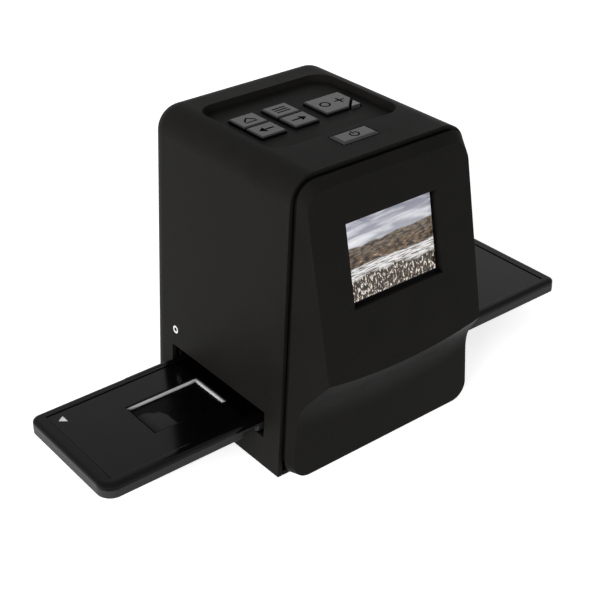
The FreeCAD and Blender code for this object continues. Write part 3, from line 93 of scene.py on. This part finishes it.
# Picture on the display: its edges, in from the glass's own
PICTURE_LEFT, PICTURE_RIGHT = 3.2 * MM, 4.7 * MM
PICTURE_LOW, PICTURE_TOP = 5.0 * MM, 3.0 * MM
FACING_ALIKE = 0.99

# Its textures, in shares of the picture: size, detail, stretch across and up, and distortion
TEXTURES = {
    "clouds": (0.3, 7.0, (0.7, 3.4, 1.0), 0.5),
    "scrub": (0.07, 6.0, (1.0, 2.2, 1.0), 0.5),
    "ripples": (0.06, 5.0, (0.5, 5.0, 1.0), 0.0),
    "grass": (0.03, 5.0, (1.7, 0.6, 1.0), 0.8),
}
SKY_LOW, SKY_HIGH = (0.42, 0.43, 0.47, 1.0), (0.2, 0.21, 0.27, 1.0)
SKY_FOOT = 0.55

# Its colours: each layer's ground, then what a texture lays over it between two levels
LAYERS = {
    "sky": (None, ("clouds", 0.42, 0.68, (0.78, 0.78, 0.82, 1.0))),
    "far": ((0.02, 0.014, 0.01, 1.0), ("scrub", 0.38, 0.6, (0.2, 0.15, 0.105, 1.0))),
    "hills": ((0.01, 0.006, 0.003, 1.0), ("scrub", 0.4, 0.58, (0.17, 0.108, 0.062, 1.0)),
              ("scrub", 0.62, 0.72, (0.6, 0.5, 0.4, 1.0))),
    "lake": ((0.05, 0.045, 0.045, 1.0), ("ripples", 0.4, 0.52, (0.8, 0.78, 0.77, 1.0))),
    "meadow": ((0.006, 0.004, 0.002, 1.0), ("grass", 0.42, 0.58, (0.11, 0.075, 0.04, 1.0)),
               ("grass", 0.56, 0.61, (0.84, 0.78, 0.71, 1.0))),
}

# Its skylines, from far to near: layer, length of a bump, start, height, swing and softness
SKYLINES = (("far", 0.3, 1.7, 0.66, 0.12, 0.01), ("hills", 0.42, 4.1, 0.55, 0.22, 0.01),
            ("lake", 0.5, 7.3, 0.41, 0.1, 0.01), ("meadow", 0.24, 9.9, 0.27, 0.3, 0.02))
SKYLINE_DETAIL = 4.0

# Figure on each slide's film, from the frame's middle
FRAME_PITCH = 75 * MM
FIGURE_LEFT, FIGURE_RIGHT = -13 * MM, -3 * MM
FIGURE_FRONT, FIGURE_REAR = 4 * MM, 16 * MM

# Printed marks
INK = 0.03 * MM
RING_PLACE = (39.7 * MM, 37.0 * MM)
RING_OUTER, RING_INNER = 1.9 * MM, 1.0 * MM
RING_STEPS = 32
ARROW = ((-124.6, 28.9), (-121.4, 26.3), (-121.4, 31.1))
RAY_LEAD = 10 * MM

# Painted shade: a dark line in the groove around the inlay, and dark strips at the slide windows
GAP_WIDTH = 0.4 * MM
GAP_REAR_RUN = 43 * MM
LIP_SHADE_WIDTH = 1.1 * MM
LIP_SHADE_HALF = 18.25 * MM
LIP_SHADE_FRONT, LIP_SHADE_REAR = -4.1 * MM, 18.5 * MM


def make_camera():
    """The camera at the photograph's place; it rolls a little about its own line of sight."""
    camera = bpy.data.objects.new("camera", bpy.data.cameras.new("camera"))
    scene.collection.objects.link(camera)
    camera.data.sensor_width = SENSOR
    camera.data.lens = LENS
    azimuth, elevation = math.radians(CAMERA_AZIMUTH), math.radians(CAMERA_ELEVATION)
    back = Vector((math.sin(azimuth) * math.cos(elevation), -math.cos(azimuth) * math.cos(elevation),
                   math.sin(elevation)))
    camera.location = CAMERA_PLACE
    camera.rotation_mode = "QUATERNION"
    level = (-back).to_track_quat("-Z", "Y")
    camera.rotation_quaternion = level @ Quaternion((0, 0, 1), math.radians(CAMERA_ROLL))
    scene.camera = camera


make_camera()
scene.view_settings.view_transform = "Standard"


class Finish:
    """A material whose nodes are added by short calls; its texture space is the object's own, in metres."""

    def __init__(self, name):
        self.material = bpy.data.materials.new(name)
        self.material.use_nodes = True
        self.tree = self.material.node_tree
        self.tree.nodes.clear()
        self.shader = self.add("BsdfPrincipled")
        self.output = self.add("OutputMaterial")
        self.put(self.output.inputs["Surface"], self.shader.outputs["BSDF"])
        self.place = self.add("TexCoord").outputs["Object"]

    def add(self, kind, **settings):
        node = self.tree.nodes.new("ShaderNode" + kind)
        for key, value in settings.items():
            setattr(node, key, value)
        return node

    def put(self, socket, value):
        """Links a socket, or sets its constant."""
        if isinstance(value, bpy.types.NodeSocket):
            self.tree.links.new(value, socket)
        else:
            socket.default_value = value

    def set(self, **values):
        """Sets or links the shader's own sockets, named with underscores."""
        for key, value in values.items():
            self.put(self.shader.inputs[key.replace("_", " ")], value)

    def math(self, operation, a, b=0.0, c=0.0, clamp=False):
        node = self.add("Math", operation=operation, use_clamp=clamp)
        for index, value in enumerate((a, b, c)):
            self.put(node.inputs[index], value)
        return node.outputs[0]

    def vector(self, operation, a, b):
        node = self.add("VectorMath", operation=operation)
        self.put(node.inputs[0], a)
        self.put(node.inputs[1], b)
        return node.outputs["Value" if operation == "DOT_PRODUCT" else "Vector"]

    def mix(self, share, a, b):
        node = self.add("Mix", data_type="RGBA", clamp_factor=True)
        for index, value in ((0, share), (6, a), (7, b)):
            self.put(node.inputs[index], value)
        return node.outputs[2]

    def spread(self, value, low, high, to_low, to_high):
        """Maps a value from one span to another, held at the ends."""
        node = self.add("MapRange", clamp=True)
        for index, number in enumerate((value, low, high, to_low, to_high)):
            self.put(node.inputs[index], number)
        return node.outputs[0]

    def stretch(self, place, factors):
        return self.vector("MULTIPLY", place, factors)

    def part(self, vector, axis):
        """One of a vector's three numbers."""
        node = self.add("SeparateXYZ")
        self.put(node.inputs[0], vector)
        return node.outputs[axis]

    def point(self, across, up=0.0):
        """A vector from two numbers."""
        node = self.add("CombineXYZ")
        self.put(node.inputs[0], across)
        self.put(node.inputs[1], up)
        return node.outputs[0]

    def noise(self, size, detail=2.0, place=None, distortion=0.0):
        """Cloudy noise whose features are about one size across."""
        node = self.add("TexNoise")
        self.put(node.inputs["Vector"], place or self.place)
        self.put(node.inputs["Scale"], 1 / size)
        self.put(node.inputs["Detail"], detail)
        self.put(node.inputs["Distortion"], distortion)
        return node.outputs["Fac"]

    def edges(self, radius, gain):
        """Nearly one along edges and nought on open faces."""
        bevel = self.add("Bevel", samples=BEVEL_SAMPLES)
        self.put(bevel.inputs["Radius"], radius)
        straight = self.vector("DOT_PRODUCT", bevel.outputs[0], self.add("NewGeometry").outputs["Normal"])
        return self.math("MULTIPLY", self.math("SUBTRACT", 1.0, straight), gain, clamp=True)

    def shade_openness(self):
        """Nought in narrow gaps and one on open faces: the mask of the shade painted into gaps."""
        shade = self.add("AmbientOcclusion", samples=BEVEL_SAMPLES)
        self.put(shade.inputs["Distance"], GAP_SHADE_REACH)
        return self.spread(shade.outputs["AO"], *OPEN_SPAN, 0.0, 1.0)

    def relief(self, radius, *heights):
        """Softens sharp edges in the light, then adds each height, a pair of height and depth."""
        bevel = self.add("Bevel", samples=BEVEL_SAMPLES)
        self.put(bevel.inputs["Radius"], radius)
        normal = bevel.outputs[0]
        for height, depth in heights:
            bump = self.add("Bump")
            self.put(bump.inputs["Distance"], depth)
            self.put(bump.inputs["Height"], height)
            self.put(bump.inputs["Normal"], normal)
            normal = bump.outputs[0]
        self.put(self.shader.inputs["Normal"], normal)


def tone(grey, warm=0.0):
    """A grey, a little warm or cool, as a colour."""
    return (grey * (1 + warm), grey, grey * (1 - warm), 1.0)


def shaded(colour, factor):
    return tuple(min(1.0, channel * factor) for channel in colour[:3]) + (1.0,)


def moulded(name, colour, roughness, specular, wear=1.7):
    """Moulded plastic: fine spark grain, faint patches of tone and gloss, paler edges from wear, and painted
    shade that darkens narrow gaps.
    """
    dark, pale, speck, gap = (shaded(colour, factor) for factor in (0.88, 1.12, 1.5, 0.12))
    speck_span, speck_share = (0.35, 0.7), 0.35
    wear_gain, wear_span, wear_least, wear_polish = 2.0, (0.35, 0.65), 0.35, 0.08
    gloss_swing = 0.04
    finish = Finish(name)
    patches = finish.noise(PATCH, 3.0)
    fine = finish.noise(GRAIN, 2.0)
    body = finish.mix(finish.spread(patches, *NOISE_SPAN, 0.0, 1.0), dark, pale)
    speckled = finish.mix(finish.spread(fine, *speck_span, 0.0, speck_share), body, speck)
    rubbed = finish.math("MULTIPLY", finish.edges(WEAR_REACH, wear_gain),
                         finish.spread(patches, *wear_span, wear_least, 1.0))
    # Narrow gaps take a much darker copy of the colour: painted shade in gaps.
    finish.set(
        Base_Color=finish.mix(finish.shade_openness(), gap, finish.mix(rubbed, speckled, shaded(colour, wear))),
        Roughness=finish.math(
            "ADD", finish.spread(patches, *NOISE_SPAN, roughness - gloss_swing, roughness + gloss_swing),
            finish.math("MULTIPLY", rubbed, -wear_polish)),
        Specular_IOR_Level=specular)
    finish.relief(BEVEL, (fine, SPARK_DEPTH))
    return finish.material


def polished(name, colour, roughness, specular, bevel=BEVEL):
    """Polished plastic: a clear gloss with faint hairlines and a slight waviness."""
    dark, pale = shaded(colour, 0.85), shaded(colour, 1.15)
    smoother, rougher = roughness * 0.9, roughness * 1.1
    hair, hair_span, hair_gloss = 1.2 * MM, (0.62, 0.75), 0.05
    wave, wave_depth = 9 * MM, 0.01 * MM
    finish = Finish(name)
    patches = finish.noise(PATCH, 2.0)
    hairlines = finish.noise(hair, 3.0, finish.stretch(finish.place, HAIR_STRETCH))
    finish.set(
        Base_Color=finish.mix(patches, dark, pale),
        Roughness=finish.math("ADD", finish.spread(patches, *NOISE_SPAN, smoother, rougher),
                              finish.spread(hairlines, *hair_span, 0.0, hair_gloss)),
        Specular_IOR_Level=specular)
    finish.relief(bevel, (finish.noise(wave, 1.0), wave_depth))
    return finish.material


def key_cap(name):
    """Polished key caps whose tops, with smears of wear, are a little duller than their sides and painted a
    little lighter than them: a painted sheen.
    """
    side, clean_sheen, worn_and_sheen = tone(0.004), tone(0.005), tone(0.008)
    crown_span, crown_gloss, smear_gloss = (0.93, 0.98), 0.12, (0.1, 0.16)
    smear, edge, depth = 2.5 * MM, 0.25 * MM, 0.003 * MM
    finish = Finish(name)
    upward = finish.part(finish.add("TexCoord").outputs["Normal"], "Z")
    # Upward faces are painted lighter than the sides, a painted sheen on the tops; the smears between the two
    # top colours are wear.
    crown = finish.spread(upward, *crown_span, 0.0, 1.0)
    smears = finish.noise(smear, 3.0)
    finish.set(
        Base_Color=finish.mix(crown, side, finish.mix(smears, clean_sheen, worn_and_sheen)),
        Roughness=finish.math("ADD", finish.math("MULTIPLY", crown, crown_gloss),
                              finish.spread(smears, *NOISE_SPAN, *smear_gloss)),
        Specular_IOR_Level=0.36)
    finish.relief(edge, (finish.noise(GRAIN, 1.0), depth))
    return finish.material


def metal(name, colour, roughness):
    """Brushed or plated metal with a fine directional grain."""
    dark, pale = shaded(colour, 0.85), shaded(colour, 1.1)
    smoother, rougher = roughness - 0.06, roughness + 0.08
    brush, patch, edge, depth = 0.15 * MM, 6 * MM, 0.12 * MM, 0.004 * MM
    finish = Finish(name)
    brushed = finish.noise(brush, 3.0, finish.stretch(finish.place, BRUSH_STRETCH))
    finish.set(
        Base_Color=finish.mix(finish.noise(patch, 2.0), dark, pale),
        Roughness=finish.spread(brushed, *NOISE_SPAN, smoother, rougher),
        Metallic=1.0)
    finish.relief(edge, (brushed, depth))
    return finish.material


def circuit(name):
    """Green solder resist over copper tracks."""
    track_pitch, patch, edge, depth = 2.4 * MM, 3 * MM, 0.1 * MM, 0.03 * MM
    resist, copper = (0.012, 0.085, 0.03, 1.0), (0.03, 0.17, 0.06, 1.0)
    track_span, gloss = (0.04, 0.09), (0.28, 0.4)
    finish = Finish(name)
    tracks = finish.add("TexVoronoi", feature="DISTANCE_TO_EDGE", distance="MANHATTAN")
    finish.put(tracks.inputs["Vector"], finish.place)
    finish.put(tracks.inputs["Scale"], 1 / track_pitch)
    line = finish.spread(tracks.outputs["Distance"], *track_span, 1.0, 0.0)
    finish.set(
        Base_Color=finish.mix(line, resist, copper),
        Roughness=finish.spread(finish.noise(patch), *NOISE_SPAN, *gloss),
        Specular_IOR_Level=0.5)
    finish.relief(edge, (line, depth))
    return finish.material


def lens_glass(name, colour):
    """Coated optical glass."""
    smudge, edge, depth = 4 * MM, 0.1 * MM, 0.001 * MM
    smudge_span, gloss, dimmed = (0.4, 0.8), (0.03, 0.08), shaded(colour, 0.92)
    finish = Finish(name)
    smudges = finish.noise(smudge, 3.0)
    finish.set(
        Base_Color=finish.mix(smudges, colour, dimmed),
        Roughness=finish.spread(smudges, *smudge_span, *gloss),
        Transmission_Weight=1.0,
        IOR=1.52,
        Coat_Weight=0.3)
    finish.relief(edge, (smudges, depth))
    return finish.material


def slide_film(name):
    """Processed film: nearly black, with one dim grey figure near each frame's left front corner."""
    black, grey, speck = (0.0012, 0.0012, 0.0015, 1.0), (0.035, 0.035, 0.037, 1.0), tone(0.12)
    cloud, grain, edge, depth = 7 * MM, 0.7 * MM, 0.05 * MM, 0.05 * MM
    raggedness, figure_span, speck_span, gloss = 0.3, (0.42, 0.5), (0.66, 0.72), (0.2, 0.28)
    finish = Finish(name)
    low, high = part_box("slide_films")
    from_middle = finish.math("SUBTRACT", finish.part(finish.place, "X"), (low.x + high.x) / 2)
    along = finish.math("WRAP", from_middle, FRAME_PITCH / 2, -FRAME_PITCH / 2)
    drift = finish.noise(cloud, 2.0, distortion=0.6)
    near = finish.math("MULTIPLY", finish.spread(along, FIGURE_LEFT, FIGURE_RIGHT, 1.0, 0.0),
                       finish.spread(finish.part(finish.place, "Y"), FIGURE_FRONT, FIGURE_REAR, 1.0, 0.0))
    ragged = finish.math("ADD", near, finish.math("MULTIPLY", drift, raggedness))
    specks = finish.spread(finish.noise(grain, 4.0), *speck_span, 0.0, 1.0)
    finish.set(
        Base_Color=finish.mix(finish.spread(ragged, *figure_span, 0.0, 1.0), black,
                              finish.mix(specks, grey, speck)),
        Roughness=finish.spread(drift, *NOISE_SPAN, *gloss),
        Specular_IOR_Level=0.03)
    finish.relief(edge, (drift, depth))
    return finish.material


def display_picture(name):
    """A lit picture behind clear glass: clouds over far hills, a lake and dry grass."""
    low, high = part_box("display_glass")
    glass = frame["nodes"]["display_glass"].data
    face = max(glass.polygons, key=lambda side: side.area * (side.normal.y < 0))
    slope = Vector((0, -face.normal.z, face.normal.y)).normalized()
    slope = slope if slope.z > 0 else -slope
    foot = min((glass.vertices[i].co for i in face.vertices), key=lambda point: point.z)
    corners = [glass.vertices[i].co for polygon in glass.polygons for i in polygon.vertices
               if polygon.normal.dot(face.normal) > FACING_ALIKE]
    height = max((point - foot).dot(slope) for point in corners)
    width = high.x - low.x

    finish = Finish(name)
    from_foot = finish.vector("SUBTRACT", finish.place, (low.x, foot.y, foot.z))
    across = finish.vector("DOT_PRODUCT", from_foot, (1.0, 0.0, 0.0))
    along = finish.vector("DOT_PRODUCT", from_foot, slope)
    u = finish.spread(across, PICTURE_LEFT, width - PICTURE_RIGHT, 0.0, 1.0)
    v = finish.spread(along, PICTURE_LOW, height - PICTURE_TOP, 0.0, 1.0)
    flat, row = finish.point(u, v), finish.point(u)
    textures = {key: finish.noise(size, detail, finish.stretch(flat, factors), distortion)
                for key, (size, detail, factors, distortion) in TEXTURES.items()}

    def coloured(layer):
        colour, *coats = LAYERS[layer]
        if layer == "sky":
            colour = finish.mix(finish.spread(v, SKY_FOOT, 1.0, 0.0, 1.0), SKY_LOW, SKY_HIGH)
        for texture, first, last, coat in coats:
            colour = finish.mix(finish.spread(textures[texture], first, last, 0.0, 1.0), colour, coat)
        return colour

    view = coloured("sky")
    for layer, bump, start, middle, swing, soft in SKYLINES:
        ridge = finish.noise(bump, SKYLINE_DETAIL, finish.vector("ADD", row, (start, start, 0.0)))
        line = finish.math("ADD", finish.math("MULTIPLY", finish.math("SUBTRACT", ridge, 0.5), swing), middle)
        below = finish.spread(finish.math("SUBTRACT", line, v), -soft, soft, 0.0, 1.0)
        view = finish.mix(below, view, coloured(layer))

    inside = finish.math("MULTIPLY", finish.math("GREATER_THAN", along, PICTURE_LOW),
                         finish.math("LESS_THAN", across, width - PICTURE_RIGHT))
    smudge, wave, edge, depth = 8 * MM, 12 * MM, 0.1 * MM, 0.004 * MM
    smudge_span, gloss, glass_black = (0.4, 0.7), (0.05, 0.09), (0.004, 0.004, 0.005, 1.0)
    finish.set(
        Base_Color=glass_black,
        Emission_Color=finish.mix(inside, tone(0.0), view),
        Emission_Strength=1.0,
        Roughness=finish.spread(finish.noise(smudge, 3.0), *smudge_span, *gloss),
        Specular_IOR_Level=0.35)
    finish.relief(edge, (finish.noise(wave, 1.0), depth))
    return finish.material


def floor_white(name):
    """White paper that the camera sees lit from within, so that only the deeper shadow shows."""
    finish = Finish(name)
    paper = finish.noise(PAPER_GRAIN, 3.0)
    finish.set(
        Base_Color=finish.mix(paper, tone(FLOOR_WHITE * PAPER_SHADE), tone(FLOOR_WHITE)),
        Roughness=0.9,
        Specular_IOR_Level=0.0,
        Emission_Color=(1.0, 1.0, 1.0, 1.0),
        Emission_Strength=seen_directly(finish, 0.0, FLOOR_GLOW))
    return finish.material


def seen_directly(finish, otherwise, seen):
    """One strength for what the camera, mirrors and glass see, and another for the light on things."""
    rays = finish.add("LightPath").outputs
    shown = finish.math("MAXIMUM", finish.math("MAXIMUM", rays["Is Camera Ray"], rays["Is Glossy Ray"]),
                        rays["Is Transmission Ray"])
    return finish.spread(shown, 0.0, 1.0, otherwise, seen)


def make_world():
    """A white room to the camera, mirrors and glass, and a dimmer fill of light on everything."""
    world = bpy.data.worlds.new("studio")
    world.use_nodes = True
    tree = world.node_tree
    tree.nodes.clear()
    rays = tree.nodes.new("ShaderNodeLightPath").outputs
    first = tree.nodes.new("ShaderNodeMath")
    second = tree.nodes.new("ShaderNodeMath")
    strength = tree.nodes.new("ShaderNodeMapRange")
    light = tree.nodes.new("ShaderNodeBackground")
    output = tree.nodes.new("ShaderNodeOutputWorld")
    first.operation = second.operation = "MAXIMUM"
    strength.inputs["To Min"].default_value = FILL
    strength.inputs["To Max"].default_value = 1.0
    light.inputs["Color"].default_value = (1.0, 1.0, 1.0, 1.0)
    for source, target in (
            (rays["Is Camera Ray"], first.inputs[0]), (rays["Is Glossy Ray"], first.inputs[1]),
            (first.outputs[0], second.inputs[0]), (rays["Is Transmission Ray"], second.inputs[1]),
            (second.outputs[0], strength.inputs["Value"]), (strength.outputs[0], light.inputs["Strength"]),
            (light.outputs[0], output.inputs["Surface"])):
        tree.links.new(source, target)
    scene.world = world


def softbox(name, power, place):
    """A square area light turned towards the middle of the object; gloss mirrors only the pale room."""
    lamp = bpy.data.lights.new(name, "AREA")
    lamp.energy = power
    lamp.size = LAMP_SIZE
    stand = bpy.data.objects.new(name, lamp)
    scene.collection.objects.link(stand)
    stand.location = place
    middle = (cad_box[0] + cad_box[1]) / 2
    stand.rotation_mode = "QUATERNION"
    stand.rotation_quaternion = (middle - place).to_track_quat("-Z", "Y")
    stand.visible_glossy = False


def mesh_object(name, mesh, material):
    piece = bpy.data.objects.new(name, mesh)
    scene.collection.objects.link(piece)
    piece.data.materials.append(material)
    return piece


def make_floor():
    """The table that the scanner stands on."""
    mesh = bpy.data.meshes.new("floor")
    corners = [(x * FLOOR_HALF, y * FLOOR_HALF, 0.0) for x, y in ((-1, -1), (1, -1), (1, 1), (-1, 1))]
    mesh.from_pydata(corners, [], [(0, 1, 2, 3)])
    mesh_object("floor", mesh, floor_white("floor_white"))


make_world()
softbox("key_light", KEY_POWER, KEY_PLACE)
softbox("side_light", SIDE_POWER, SIDE_PLACE)
make_floor()

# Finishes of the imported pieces, by the record's slots: colour, roughness and gloss level
finishes = {
    "shell_black": moulded("shell_black", tone(0.0078, 0.06), 0.5, 0.03),
    "bezel_black": moulded("bezel_black", tone(0.0068, 0.06), 0.5, 0.03),
    "foot_rubber": moulded("foot_rubber", tone(0.02), 0.8, 0.2, wear=1.2),
    "steel_screw": metal("steel_screw", tone(0.3), 0.35),
    "screen": display_picture("screen"),
    "light_guide": moulded("light_guide", tone(0.78), 0.45, 0.4, wear=1.0),
    "sheet_metal": metal("sheet_metal", tone(0.6), 0.3),
    "board_green": circuit("board_green"),
    "chip_black": moulded("chip_black", tone(0.015), 0.55, 0.3),
    "inner_black": moulded("inner_black", tone(0.003), 0.7, 0.02),
    "inner_white": moulded("inner_white", tone(0.8), 0.6, 0.3, wear=1.0),
    "lamp": moulded("lamp", (0.85, 0.8, 0.45, 1.0), 0.3, 0.5, wear=1.0),
    "barrel": metal("barrel", tone(0.06), 0.4),
    "optical_glass": lens_glass("optical_glass", (0.9, 0.95, 0.97, 1.0)),
    "clear_pipe": polished("clear_pipe", tone(0.05), 0.12, 0.5),
    "holder_base": moulded("holder_base", tone(0.022), 0.42, 0.1),
    "holder_cover": polished("holder_cover", tone(0.002, 0.04), 0.1, 0.09),
    "holder_inlay": polished("holder_inlay", tone(0.001, 0.06), 0.14, 0.11, bevel=0.15 * MM),
    "slide_mount": moulded("slide_mount", tone(0.8), 0.5, 0.3, wear=1.0),
    "film": slide_film("film"),
    "key_black": key_cap("key_black"),
    "plunger": moulded("plunger", tone(0.6), 0.4, 0.4, wear=1.0),
}
for part in frame["record"]["subparts"]:
    slots = frame["nodes"][part["node"]].data.materials
    slots.clear()
    slots.append(finishes[part["material_slot"]])

white_ink = moulded("white_ink", tone(0.85), 0.45, 0.3, wear=1.0)
# The dark ink prints the key symbols and also draws the painted shade in the inlay's groove and at the slide
# windows.
dark_ink_and_shade = moulded("dark_ink_and_shade", tone(0.003), 0.9, 0.0, wear=1.0)


def seat(node, start, direction):
    """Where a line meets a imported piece: a matrix there whose z is the surface's own outward normal."""
    found, point, normal, _ = frame["nodes"][node].ray_cast(Vector(start), Vector(direction))
    if not found:
        raise ValueError(f"nothing of {node} there")
    return Matrix.Translation(point) @ normal.to_track_quat("Z", "Y").to_matrix().to_4x4()


def stamp(name, body, matrix, outlines, material):
    """Thin ink on a surface: closed outlines raised by the ink's thickness."""
    build = bmesh.new()
    for outline in outlines:
        rings = [[build.verts.new((x, y, z)) for x, y in outline] for z in (0.0, INK)]
        build.faces.new(rings[1])
        build.faces.new(rings[0][::-1])
        count = len(outline)
        for i in range(count):
            j = (i + 1) % count
            build.faces.new((rings[0][i], rings[0][j], rings[1][j], rings[1][i]))
    bmesh.ops.recalc_face_normals(build, faces=build.faces)
    mesh = bpy.data.meshes.new(name)
    build.to_mesh(mesh)
    build.free()
    piece = mesh_object(name, mesh, material)
    piece.matrix_world = matrix
    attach(piece, body)


def arc_band(outer, inner, first=0.0, last=360.0, x=0.0, y=0.0):
    """A ring or part of one as four-sided steps."""
    steps = max(3, round(RING_STEPS * (last - first) / 360))
    angles = [math.radians(first + (last - first) * i / steps) for i in range(steps + 1)]
    near, far = ([(x + radius * math.cos(a), y + radius * math.sin(a)) for a in angles]
                 for radius in (inner, outer))
    return [[near[i], far[i], far[i + 1], near[i + 1]] for i in range(steps)]


def bar(x0, y0, x1, y1, width):
    """A straight stroke between two points."""
    start, end = Vector((x0, y0)), Vector((x1, y1))
    side = (end - start).normalized().orthogonal() * width / 2
    return [tuple(corner) for corner in (start - side, end - side, end + side, start + side)]


ring_seat = seat("main_shell", (cad_box[0].x - RAY_LEAD, *RING_PLACE), (1, 0, 0))
stamp("side_ring_mark", "housing", ring_seat, arc_band(RING_OUTER, RING_INNER), white_ink)
inlay_low, inlay_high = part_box("cover_inlay")
inlay_seat = Matrix.Translation((0, 0, inlay_high.z))
stamp("travel_arrow", "holder", inlay_seat, [[(x * MM, y * MM) for x, y in ARROW]], white_ink)

# Painted shadow in the groove around the inlay: a dark line drawn just inside its edge; it stops short of the
# hinge
left, right = inlay_low.x + GAP_WIDTH / 2, inlay_high.x - GAP_WIDTH / 2
front, rear = inlay_low.y + GAP_WIDTH / 2, inlay_high.y - GAP_WIDTH / 2
stamp("inlay_gap", "holder", inlay_seat, [
    bar(left, rear, left, front, GAP_WIDTH), bar(left, front, right, front, GAP_WIDTH),
    bar(right, front, right, rear, GAP_WIDTH), bar(left, rear, left + GAP_REAR_RUN, rear, GAP_WIDTH),
    bar(right, rear, right - GAP_REAR_RUN, rear, GAP_WIDTH)], dark_ink_and_shade)

# Thin black strips that cover each slide's rim at its left and front: painted shade under the cover's window
# edge
film_low, film_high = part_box("slide_films")
film_middle = (film_low.x + film_high.x) / 2
for index in (-1, 0, 1):
    window = film_middle + index * FRAME_PITCH
    start = (window - LIP_SHADE_HALF, (film_low.y + film_high.y) / 2, cad_box[1].z)
    mount_top = seat("slide_mounts", start, (0, 0, -1)).translation.z
    stamp(f"window_lip_shade_{index + 2}", "holder", Matrix.Translation((window, 0, mount_top)), [
        bar(-LIP_SHADE_HALF, LIP_SHADE_FRONT, -LIP_SHADE_HALF, LIP_SHADE_REAR, LIP_SHADE_WIDTH),
        bar(-LIP_SHADE_HALF - LIP_SHADE_WIDTH / 2, LIP_SHADE_FRONT, LIP_SHADE_HALF, LIP_SHADE_FRONT, LIP_SHADE_WIDTH)], dark_ink_and_shade)

# Plain symbols on the keys, in millimetres from each cap's middle
SYMBOLS = {
    "upper_left": [bar(-3.0, -1.5, 0.0, 2.0, 0.8), bar(0.0, 2.0, 3.0, -1.5, 0.8),
                   bar(-3.0, -2.4, 3.0, -2.4, 0.7)],
    "lower_left": [[(-3.8, 0.0), (-0.6, 2.4), (-0.6, -2.4)], bar(-0.4, 0.0, 3.8, 0.0, 1.0)],
    "upper_middle": [bar(-3.4, h, 3.4, h, 0.8) for h in (-2.0, 0.0, 2.0)],
    "lower_middle": [[(3.8, 0.0), (0.6, -2.4), (0.6, 2.4)], bar(-3.8, 0.0, 0.4, 0.0, 1.0)],
    "wide": arc_band(2.6, 1.8, x=-4.2) + [bar(1.2, 0.0, 6.4, 0.0, 0.85), bar(3.8, -2.6, 3.8, 2.6, 0.85)],
    "power": arc_band(2.3, 1.6, 120.0, 420.0) + [bar(0.0, 0.4, 0.0, 2.9, 0.7)],
}
for name, outlines in SYMBOLS.items():
    low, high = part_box(f"{name}_key")
    middle = (low + high) / 2
    stamp(f"{name}_symbol", f"{name}_key", Matrix.Translation((middle.x, middle.y, high.z)),
          [[(x * MM, y * MM) for x, y in outline] for outline in outlines], dark_ink_and_shade)
